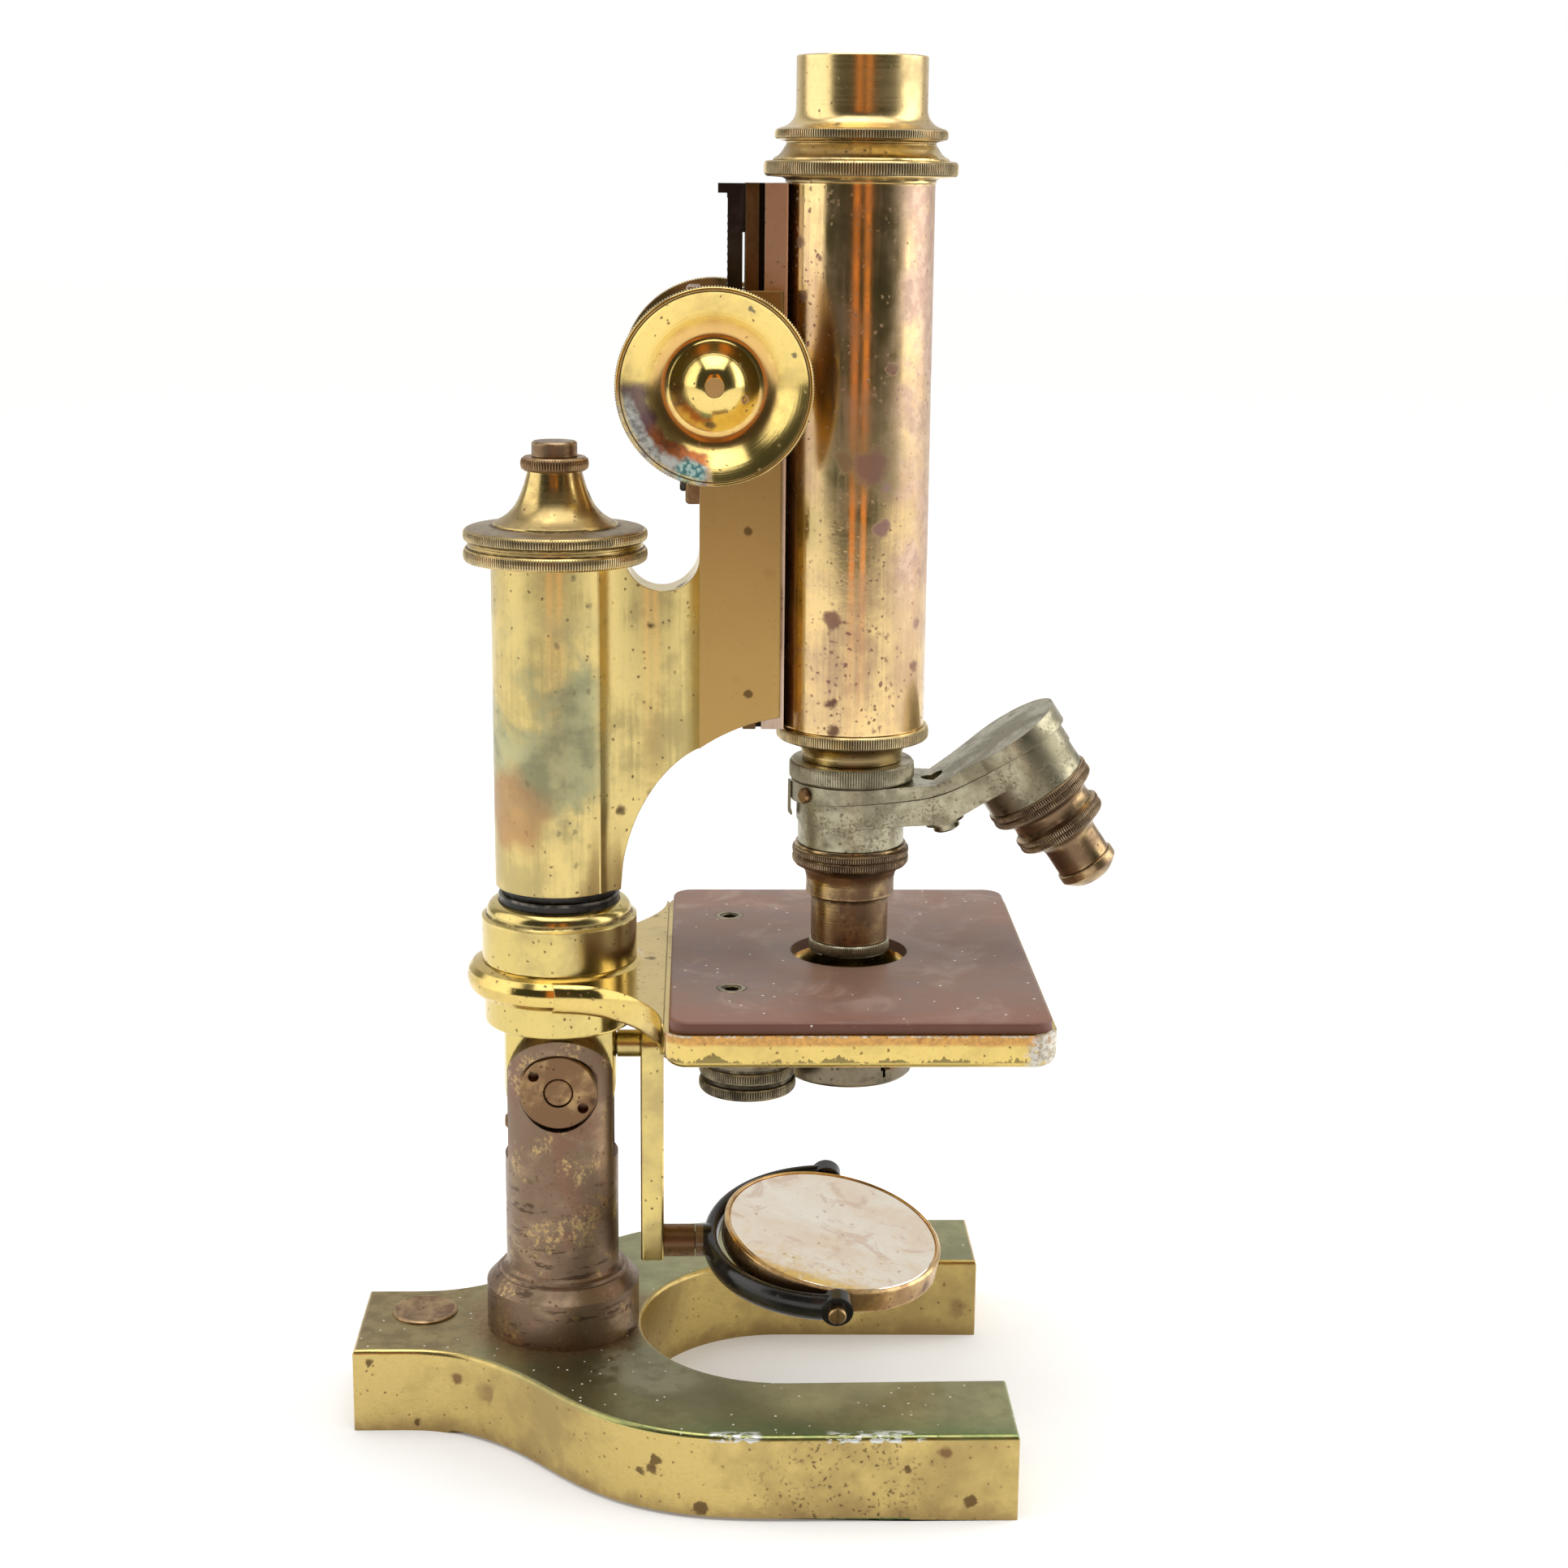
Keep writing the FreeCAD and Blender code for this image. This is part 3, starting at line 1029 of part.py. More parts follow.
lathe("nose_adapter", [
    (8.6, 146.6), (9.9, 146.6), (9.9, 152.75), (10.9, 152.8), (11.0, 153.8), (11.4, 155.2),
    (12.2, 156.4), (13.2, 157.2), (15.8, 157.5), (16.7, 157.9), (16.7, 160.1), (16.2, 160.5),
    ("tube_bore-0.03", 160.55), ("tube_bore-0.03", 166.0), (13.2, 166.0), (8.6, 160.0)])
lathe("nose_ring", [
    (9.95, 148.35), (13.3, 148.35), (13.77, 148.7), (13.77, 152.2), (13.2, 152.7),
    (9.95, 152.7)])
solid("nose_fixed_plate", nose_fixed_shape())
solid("nose_turning_plate", nose_turning_shape())
solid("nose_pivot_screw", nose_pivot_shape())
solid("nose_spring_clip", upright_slab([
    (-13.36, 147.6), (-13.36, 141.2), (-13.0, 140.3), (-13.3, 140.0), (-14.0, 140.9),
    (-13.95, 147.6)], -1.6, 3.2))
lathe("nose_clip_screw", [
    (0, -3.2), (0.97, -3.2), (0.97, 0.05), (1.7, 0.05), (1.7, 0.7), (1.3, 1.1), (0, 1.1)],
    (13.3 * CLIP_X, 13.3 * CLIP_Y, CLIP_Z), facing(CLIP_X, CLIP_Y, 0))

# ---------------------------------------------------------------- objectives
AT_APEX = (0, 0, "apex_z")
lathe("objective_low", [
    (7.4, 138.6), (10.1, 138.6), (10.1, 133.9), (12.4, 133.9), (12.5, 133.2), (12.9, 132.9),
    (12.9, 131.6), (12.6, 131.35), (12.9, 131.1), (12.9, 129.7), (12.4, 129.3), (11.2, 128.7),
    (10.3, 127.9), (9.85, 126.9), (9.75, 125.4), (9.75, 122.5), (9.3, 122.1), (8.55, 121.9),
    (8.55, 111.9), (8.3, 111.8), (8.3, 109.5), (5.2, 109.5), (4.4, 110.6), (4.4, 112.4),
    (6.0, 112.4), (6.0, 116.4), (7.4, 116.4)])
lathe("objective_low_ring", [
    (8.33, 109.1), (8.7, 109.1), (9.0, 109.4), (9.0, 111.4), (8.7, 111.75), (8.33, 111.75)])
lathe("objective_high", down([
    (6.0, 68.4), (10.1, 68.4), (10.1, 73.0), (12.0, 73.0), (12.25, 73.3), (12.25, 74.5),
    (11.95, 74.7), (12.25, 74.9), (12.25, 76.0), (11.8, 76.4), (10.6, 76.9), (9.7, 77.5),
    (9.25, 78.3), (9.25, 80.6), (9.9, 81.1), (10.4, 81.4), (10.4, 82.6), (10.15, 82.75),
    (10.4, 82.9), (10.4, 84.0), (9.9, 84.4), (8.2, 85.0), (7.0, 85.7), (6.4, 86.6),
    (6.3, 87.4), (6.3, 93.2), (3.4, 93.2), (3.4, 88.0), (6.0, 82.0)]), AT_APEX, SECOND_AXIS)
lathe("objective_high_nose", down([
    (1.6, 93.25), (6.5, 93.25), (6.8, 93.5), (6.8, 95.2), (6.5, 95.6), (4.6, 97.3),
    (3.2, 97.7), (1.6, 97.7)]), AT_APEX, SECOND_AXIS)


def lenses_shape():
    """Two lenses in the low objective, then two in the high one."""
    return Part.makeCompound([
        turned([(0, 112.5), (5.9, 112.5), (5.9, 113.4), (4.0, 114.3), (0, 114.9)]),
        turned([(0, 117.6), (7.3, 117.6), (7.3, 118.8), (4.6, 119.8), (0, 120.3)]),
        on_axis(turned(down([(0, 94.0), (1.55, 94.0), (1.55, 97.4), (0, 97.6)])), SECOND_AXIS),
        on_axis(turned(down([(0, 89.0), (3.3, 89.0), (3.3, 91.0), (0, 91.6)])), SECOND_AXIS)])


solid("objective_lenses", lenses_shape())

# ---------------------------------------------------------------- check and write
doc.recompute()
for obj in doc.Objects:
    if [state for state in obj.State if state in ("Invalid", "Error")]:
        raise RuntimeError("%s failed: %s" % (obj.Name, obj.State))
for label, obj in pieces.items():
    shape = obj.Shape
    if shape.isNull() or not shape.isValid():
        raise RuntimeError(label + " has no valid shape")
    if not shape.Solids:
        raise RuntimeError(label + " has no solid")
    if min(part.Volume for part in shape.Solids) <= 0:
        raise RuntimeError(label + " has an inside-out solid")
for label, obj in pieces.items():
    obj.Shape.exportStep("parts/%s.step" % label)
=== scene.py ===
# A brass compound microscope on a horseshoe foot, standing on a pale floor.
# +Z is up and the foot rests on z = 0. The tube's axis is x = y = 0, the column stands to its
# left at x = COLUMN_X, and the near side, towards the camera, is -Y. The CAD pieces get new
# materials, and the foot, the spring and the turned pieces are rebuilt. Lengths here are in
# millimetres unless said otherwise; meshes are scaled by MM into metres.
import bpy
import json
import math
from functools import cached_property
from mathutils import Vector, Matrix
from mathutils.geometry import tessellate_polygon


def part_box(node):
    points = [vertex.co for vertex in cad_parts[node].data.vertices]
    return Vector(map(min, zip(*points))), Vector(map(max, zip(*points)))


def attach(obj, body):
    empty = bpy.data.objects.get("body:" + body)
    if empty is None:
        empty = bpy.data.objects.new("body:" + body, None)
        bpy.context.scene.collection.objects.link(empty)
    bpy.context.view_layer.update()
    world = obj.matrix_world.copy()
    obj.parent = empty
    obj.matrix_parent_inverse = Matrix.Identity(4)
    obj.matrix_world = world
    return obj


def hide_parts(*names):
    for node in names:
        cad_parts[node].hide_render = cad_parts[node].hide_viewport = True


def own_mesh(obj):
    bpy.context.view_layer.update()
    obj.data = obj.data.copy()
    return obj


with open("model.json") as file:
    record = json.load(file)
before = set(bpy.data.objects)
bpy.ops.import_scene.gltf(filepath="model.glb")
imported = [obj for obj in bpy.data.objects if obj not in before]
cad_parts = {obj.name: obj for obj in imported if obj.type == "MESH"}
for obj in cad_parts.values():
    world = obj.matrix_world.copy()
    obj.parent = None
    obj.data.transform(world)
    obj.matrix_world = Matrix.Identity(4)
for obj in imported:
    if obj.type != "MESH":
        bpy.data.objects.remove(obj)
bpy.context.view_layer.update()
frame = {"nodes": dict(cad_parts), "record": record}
record = frame["record"]
BODY = {node: body for body, nodes in record["behaviour"]["bodies"].items() for node in nodes}

MM = 0.001
DEGREES = 180 / math.pi
COLUMN_X = -64.6
COLUMN = (COLUMN_X, 0, 0)
PINION_X, PINION_Z = -30.6, 235.2   # axis of the coarse focus knobs, along Y
KNOB_START = 10.7                   # distance of each knob's inner end from y = 0


def box_mm(node):
    return [[value * 1000 for value in corner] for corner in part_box(node)]


# ------------------------------------------------------------------ node graphs


class Value:
    """An output socket, with arithmetic that adds nodes to its graph."""

    def __init__(self, graph, socket):
        self.graph = graph
        self.socket = socket

    def __add__(self, other):
        return self.graph.calc("ADD", self, other)

    def __radd__(self, other):
        return self.graph.calc("ADD", other, self)

    def __sub__(self, other):
        return self.graph.calc("SUBTRACT", self, other)

    def __rsub__(self, other):
        return self.graph.calc("SUBTRACT", other, self)

    def __mul__(self, other):
        return self.graph.calc("MULTIPLY", self, other)

    def __abs__(self):
        return self.graph.calc("ABSOLUTE", self)

    def ramp(self, start, end, low=0.0, high=1.0):
        """A smooth step from low at start to high at end."""
        inputs = dict(enumerate((self, start, end, low, high)))
        return self.graph.out("ShaderNodeMapRange", inputs, interpolation_type="SMOOTHSTEP")

    def fade(self, start, end):
        return self.ramp(start, end, 1.0, 0.0)


class Graph:
    """The node tree of a material or world."""

    def __init__(self, owner):
        owner.use_nodes = True
        self.tree = owner.node_tree
        self.tree.nodes.clear()

    def node(self, kind, inputs=None, **props):
        node = self.tree.nodes.new(kind)
        for name, value in props.items():
            setattr(node, name, value)
        for key, value in (inputs or {}).items():
            self.put(node.inputs[key], value)
        return node

    def out(self, kind, inputs=None, output=0, **props):
        return Value(self, self.node(kind, inputs, **props).outputs[output])

    def put(self, socket, value):
        if isinstance(value, Value):
            self.tree.links.new(value.socket, socket)
            return
        if isinstance(value, tuple) and len(value) == 3 and len(socket.default_value) == 4:
            value = (*value, 1.0)
        socket.default_value = value

    def calc(self, operation, *operands):
        """Vector arithmetic if any operand is a vector, otherwise plain arithmetic."""
        is_vector = any(isinstance(v, tuple) or isinstance(v, Value) and v.socket.type == "VECTOR"
                        for v in operands)
        kind = "ShaderNodeVectorMath" if is_vector else "ShaderNodeMath"
        output = "Vector" if is_vector and operation != "DISTANCE" else "Value"
        return self.out(kind, dict(enumerate(operands)), output, operation=operation)

    def separate(self, vector):
        node = self.node("ShaderNodeSeparateXYZ", {0: vector})
        return [Value(self, socket) for socket in node.outputs]

    def mix(self, mask, first, second):
        """Colour: first where the mask is 0, second where it is 1."""
        return self.out("ShaderNodeMix", {0: mask, 6: first, 7: second}, 2, data_type="RGBA")

    def mix_float(self, mask, first, second):
        return self.out("ShaderNodeMix", {0: mask, 2: first, 3: second}, data_type="FLOAT")


class Surface(Graph):
    """A Principled material. Patterns are laid out in millimetres."""

    def __init__(self, name):
        self.material = bpy.data.materials.new(name)
        super().__init__(self.material)
        self.shader = self.node("ShaderNodeBsdfPrincipled")
        shaded = Value(self, self.shader.outputs[0])
        self.node("ShaderNodeOutputMaterial", {0: shaded})

    @cached_property
    def place(self):
        return self.out("ShaderNodeTexCoord", output="Object") * (1000.0, 1000.0, 1000.0)

    @cached_property
    def axes(self):
        return self.separate(self.place)

    x = property(lambda self: self.axes[0])
    y = property(lambda self: self.axes[1])
    z = property(lambda self: self.axes[2])

    @cached_property
    def edge(self):
        """Mesh attribute: 1 on outer corners, below 0 in hollows."""
        return self.out("ShaderNodeAttribute", output="Fac", attribute_name="edge")

    @cached_property
    def loc(self):
        """Mesh attribute: (radius, height, 0) of a turned piece in its own frame."""
        return self.out("ShaderNodeAttribute", output="Vector", attribute_name="loc")

    @cached_property
    def up(self):
        return self.separate(self.out("ShaderNodeNewGeometry", output="Normal"))[2]

    def noise(self, scale, detail=4.0, rough=0.55, twist=0.0, at=None, seed=0.0, output=0):
        at = at or self.place
        if seed:
            at = at + (seed * 37.1, seed * -17.3, seed * 29.7)
        inputs = {"Vector": at, "Scale": scale, "Detail": detail, "Roughness": rough,
                  "Distortion": twist}
        return self.out("ShaderNodeTexNoise", inputs, output)

    def warp(self, scale, amount, seed=1.0):
        """The place, shifted by noise."""
        shifted = self.place + (seed * 11.0, seed * 5.0, seed * -7.0)
        colour = self.noise(scale, 3.0, 0.5, at=shifted, output="Color")
        return self.place + (colour - (0.5, 0.5, 0.5)) * (amount, amount, amount)

    def specks(self, scale, size, chance, at=None, seed=0.0, within=None):
        """Dots in random cells: size fades them outwards, chance picks the cells."""
        at = at or self.place
        if seed:
            at = at + (seed * 31.1, seed * -11.3, seed * 23.7)
        cells = self.node("ShaderNodeTexVoronoi", {"Vector": at, "Scale": scale})
        colour = Value(self, cells.outputs["Color"])
        pick = self.out("ShaderNodeSeparateColor", {0: colour})
        dots = Value(self, cells.outputs["Distance"]).fade(*size)
        if within:
            dots = within * dots
        return dots * pick.ramp(*chance)

    def ball(self, centre, inner, outer, at=None):
        """1 within the inner radius of the centre, 0 beyond the outer one."""
        return self.calc("DISTANCE", at or self.place, centre).fade(inner, outer)

    def axis_distance(self, centre_x):
        """Distance from the upright line at (centre_x, 0)."""
        level = self.out("ShaderNodeCombineXYZ", {0: self.x, 1: self.y, 2: 0.0})
        return self.calc("DISTANCE", level, (centre_x, 0.0, 0.0))

    def tint(self, mask, colour):
        self.colour = self.mix(mask, self.colour, colour)

    def roughen(self, mask, rough):
        """Moves the roughness to the given value under the mask."""
        self.rough = self.mix_float(mask, self.rough, rough)

    def set(self, **inputs):
        """Sets shader inputs; underscores stand for spaces."""
        for name, value in inputs.items():
            self.put(self.shader.inputs[name.replace("_", " ")], value)

    def relief(self, height, depth, bevel):
        """Bumps depth mm deep, over edges softened by a bevel radius if there is one."""
        inputs = {"Height": height, "Distance": depth * MM}
        if bevel:
            inputs["Normal"] = self.out("ShaderNodeBevel", {"Radius": bevel * MM}, samples=3)
        self.set(Normal=self.out("ShaderNodeBump", inputs))


def metal(name, *, clean, dull, rough, tarnish, size, seed, spots=0.0, pits=0.0, streak=0.0,
          turn=0.0, grain=False, dark=(0.09, 0.05, 0.03), dirt_and_shade=(0.06, 0.04, 0.02), wear_and_sheen=None,
          gap=0.0, dust=0.0, bump=0.02, bevel=0.0, metallic=1.0, marks=None):
    """Aged metal. clean and dull are colours with a roughness each; tarnish is the dull share
    and size its patch size. dark colours pits and spots; dirt_and_shade the hollows, dirt with
    painted shade (filled by gap); wear_and_sheen the edges, wear with a painted highlight. marks
    is a function that adds marks of the piece's own."""
    surf = Surface(name)
    # broad toning
    softness = 0.12
    toning = surf.noise(1.0 / size, 5.0, 0.6, 0.3, seed=seed)
    toning = toning + (surf.noise(4.5 / size, 4.0, 0.6, seed=seed + 3) - 0.5) * 0.35
    if streak:
        upright = surf.place * (1.0, 1.0, 0.035)
        toning = toning + (surf.noise(1.1, 4.0, 0.65, at=upright, seed=seed + 7) - 0.5) * streak
    middle = (1.0 - tarnish) * 0.6 + 0.2
    toned = toning.ramp(middle - softness, middle + softness)
    surf.colour = surf.mix(toned, clean, dull)
    surf.rough = surf.mix_float(toned, *rough)
    # fine mottling
    fine = surf.noise(0.9, 3.0, 0.6, seed=seed + 5)
    surf.tint(fine.ramp(0.52, 0.75, 0.0, 0.35), dull)
    surf.height = (fine - 0.5) * 0.3
    if turn:
        # fine turning marks round the axis
        rings = surf.noise(3.2, 2.0, 0.5, at=surf.loc * (1.0, 1.0, 0.0), seed=seed)
        surf.rough = surf.rough + (rings - 0.5) * (0.12 * turn)
        surf.height = surf.height + rings * (0.9 * turn)
    if grain:
        # level brushing
        brushed = surf.noise(4.5, 2.0, 0.6, at=surf.place * (0.06, 0.06, 1.0), seed=seed)
        surf.rough = surf.rough + (brushed - 0.5) * 0.2
        surf.height = surf.height + brushed * 0.8
    if pits:
        pitted = surf.specks(0.75, (0.10, 0.34), (1.0 - 0.5 * pits, 1.0 - 0.4 * pits),
                             surf.warp(1.2, 0.9, seed))
        surf.tint(pitted * 0.75, dark)
        surf.roughen(pitted, 0.5)
        surf.height = surf.height + pitted * -0.5
    if spots:
        spotted = surf.specks(0.16, (0.12, 0.30), (1.0 - 0.35 * spots, 1.0 - 0.25 * spots),
                              surf.warp(0.5, 2.2, seed + 2))
        surf.tint(spotted * 0.8, dark)
        surf.roughen(spotted, 0.45)
    if marks:
        marks(surf)
    # dirt and painted shade in the hollows, wear and a painted highlight on the edges
    patches = surf.noise(0.5, 3.0, seed=seed + 9).ramp(0.25 - 0.25 * gap, 0.6 - 0.25 * gap)
    hollows = surf.edge.fade(-0.75, -0.05 + 0.9 * gap) * patches
    surf.tint(hollows * 0.8, dirt_and_shade)
    surf.roughen(hollows * 0.7, 0.6)
    wear_and_sheen_mask = surf.edge.ramp(0.3, 1.0) * surf.noise(0.35, 3.0, seed=seed + 11).ramp(0.35, 0.6)
    surf.tint(wear_and_sheen_mask * 0.6, wear_and_sheen or tuple(min(1.0, value * 1.15 + 0.05) for value in clean))
    if dust:
        dusty = surf.specks(0.55, (0.10, 0.18), (1.0 - 0.25 * dust, 1.0 - 0.22 * dust),
                            seed=seed + 4) * surf.up.ramp(0.4, 0.8)
        surf.tint(dusty, (0.8, 0.78, 0.72))
        surf.roughen(dusty, 0.8)
        metallic = surf.mix_float(dusty, metallic, 0.0)
    surf.set(Base_Color=surf.colour, Metallic=metallic,
             Roughness=surf.calc("MAXIMUM", surf.rough, 0.06))
    surf.relief(surf.height, bump, bevel)
    return surf.material


# ------------------------------------------------------------------ marks of single pieces


def tube_marks(surf):
    # pink and grey haze down the right flank
    haze = surf.noise(0.05, 5.0, 0.65, 0.3, seed=21)
    right = (surf.x + haze * 9.0).ramp(8.0, 15.0) * haze.ramp(0.30, 0.52)
    right = right * surf.z.ramp(170.0, 200.0)
    blend = surf.noise(0.35, 4.0, 0.6, seed=4).ramp(0.42, 0.6)
    surf.tint(right * 0.85, surf.mix(blend, (0.47, 0.31, 0.26), (0.60, 0.43, 0.34)))
    surf.roughen(right * 0.85, 0.46)
    # rust-red specks, most of them high on the left and low down
    high_left = surf.z.ramp(235.0, 262.0) * surf.x.ramp(-4.0, -11.0) * 0.16
    low = surf.z.ramp(190.0, 172.0) * 0.10
    zone = (surf.noise(0.06, 3.0, 0.6, seed=5) + high_left + low).ramp(0.50, 0.64)
    rust = surf.specks(0.55, (0.15, 0.34), (0.30, 0.45), surf.warp(0.9, 1.8, 3.0)) * zone
    surf.tint(rust * 0.8, (0.26, 0.12, 0.11))
    surf.roughen(rust, 0.5)
    fine = surf.specks(0.9, (0.12, 0.32), (0.55, 0.7), surf.warp(1.6, 1.0, 8.0))
    fine = fine * surf.noise(0.045, 3.0, 0.6, seed=15).ramp(0.42, 0.60)
    surf.tint(fine * 0.65, (0.34, 0.20, 0.15))
    # olive cast
    surf.tint(surf.noise(0.028, 4.0, 0.6, seed=31).ramp(0.5, 0.66) * 0.6, (0.36, 0.30, 0.13))
    # large stains: centre, radius, colour
    warped = surf.warp(0.35, 4.0, 4.0)
    for centre, radius, colour in (
            ((2.3, -15.4, 218.3), 4.6, (0.30, 0.16, 0.13)),
            ((-3.5, -15.4, 219.5), 3.0, (0.30, 0.19, 0.10)),
            ((5.0, -15.0, 205.5), 2.2, (0.36, 0.20, 0.19)),
            ((-5.6, -14.6, 185.6), 2.7, (0.26, 0.13, 0.10)),
            ((-5.6, -14.7, 167.9), 2.0, (0.12, 0.05, 0.04)),
            ((-4.9, -15.0, 161.8), 1.5, (0.15, 0.07, 0.05)),
            ((4.9, -14.6, 214.0), 1.6, (0.42, 0.26, 0.24))):
        stain = surf.ball(centre, radius * 0.5, radius, warped)
        surf.tint(stain * 0.85, colour)
        surf.roughen(stain * 0.9, 0.45)


def arm_marks(surf):
    # green toning on the sleeve round the column
    sleeve = surf.x.fade(-58.0, -51.0)
    green = sleeve * surf.noise(0.045, 5.0, 0.62, 0.4, seed=2).ramp(0.40, 0.56)
    green = green * surf.z.ramp(134.0, 146.0) * surf.z.ramp(190.0, 176.0)
    blend = surf.noise(0.12, 4.0, seed=8).ramp(0.4, 0.65)
    surf.tint(green * 0.85, surf.mix(blend, (0.42, 0.42, 0.24), (0.22, 0.24, 0.15)))
    surf.roughen(green * 0.8, 0.38)
    # brown patch low on the left
    brown = surf.ball((-74.0, -10.0, 143.0), 6.0, 12.0, surf.warp(0.12, 9.0, 2.0))
    surf.tint(brown * 0.7, (0.42, 0.22, 0.10))
    surf.roughen(brown * 0.7, 0.4)
    flecks = surf.specks(0.3, (0.1, 0.3), (0.72, 0.85), surf.warp(0.7, 2.0, 6.0)) * sleeve
    surf.tint(flecks * 0.6, (0.20, 0.16, 0.09))
    # satin sides of the block at the right, with painted shade darkening them towards the top
    block = surf.x.ramp(-34.2, -33.4) * abs(surf.y).ramp(10.2, 10.4)
    # painted shade: darker towards the top of the block
    satin_and_shade = surf.mix(surf.z.ramp(235.0, 170.0), (0.33, 0.21, 0.075), (0.52, 0.345, 0.12))
    surf.tint(block * 0.9, satin_and_shade)
    surf.roughen(block, 0.40)
    for centre in ((-23.3, -10.5, 204.0), (-23.1, -10.5, 169.0)):
        spot = surf.ball(centre, 0.7, 1.2, surf.warp(0.9, 0.8, 5.0))
        surf.tint(spot * 0.85, (0.12, 0.07, 0.03))


def knob_marks(surf):
    # corroded crescent at the lower left of the rim; angle runs from left (0) to down (90)
    warped = surf.warp(0.30, 3.2, 3.0)
    warped_x, _, warped_z = surf.separate(warped)
    off_x = warped_x - PINION_X
    off_z = warped_z - PINION_Z
    radius = surf.calc("SQRT", off_x * off_x + off_z * off_z)
    angle = surf.calc("ARCTAN2", off_z * -1.0, off_x * -1.0) * DEGREES
    face = surf.y.ramp(-19.0, -19.6)
    grey = angle.ramp(2.0, 14.0) * angle.ramp(90.0, 80.0) * radius.ramp(16.0, 17.4)
    grey = grey * surf.y.ramp(-22.0, -22.3)
    red = angle.ramp(14.0, 26.0) * angle.ramp(92.0, 80.0) * radius.ramp(13.2, 14.4) * face
    purple = angle.ramp(-6.0, 4.0) * angle.ramp(40.0, 26.0) * radius.ramp(12.4, 14.6) * face
    crust = surf.noise(0.6, 4.0, 0.7, seed=3)
    surf.tint(red * 0.92, surf.mix(crust.ramp(0.4, 0.62), (0.42, 0.10, 0.03), (0.22, 0.07, 0.04)))
    surf.tint(purple * 0.92, (0.17, 0.11, 0.12))
    surf.roughen(surf.calc("MAXIMUM", red, purple) * 0.8, 0.32)
    bloom = surf.mix(crust.ramp(0.30, 0.60), (0.20, 0.19, 0.19), (0.62, 0.64, 0.60))
    surf.tint(grey * 0.95, bloom)
    teal = surf.ball((-35.5, -24.5, 218.2), 2.2, 3.6, warped) * face
    blend = surf.noise(1.1, 3.0, seed=6).ramp(0.42, 0.58)
    surf.tint(teal, surf.mix(blend, (0.10, 0.27, 0.27), (0.50, 0.66, 0.62)))
    surf.roughen(surf.calc("MAXIMUM", grey, teal), 0.65)
    surf.height = surf.height + grey * crust * 3.0
    # small dark spots: centre, radius
    for centre, size in (
            ((-43.4, -23.5, 237.3), 0.85), ((-31.8, -24.5, 251.9), 0.55),
            ((-23.3, -24.0, 251.0), 0.8), ((-14.4, -24.0, 241.8), 0.85),
            ((-17.2, -23.0, 237.4), 0.5), ((-22.7, -24.0, 250.4), 0.5)):
        spot = surf.ball(centre, size * 0.45, size, surf.warp(1.2, 0.8, 5.0))
        surf.tint(spot * 0.85, (0.13, 0.11, 0.08))
    # soft dull ring between dome and dish
    ring = radius.ramp(9.0, 10.4) * radius.ramp(14.0, 12.2) * face
    surf.tint(ring * 0.55, (0.62, 0.32, 0.12))
    surf.roughen(ring * 0.5, 0.3)


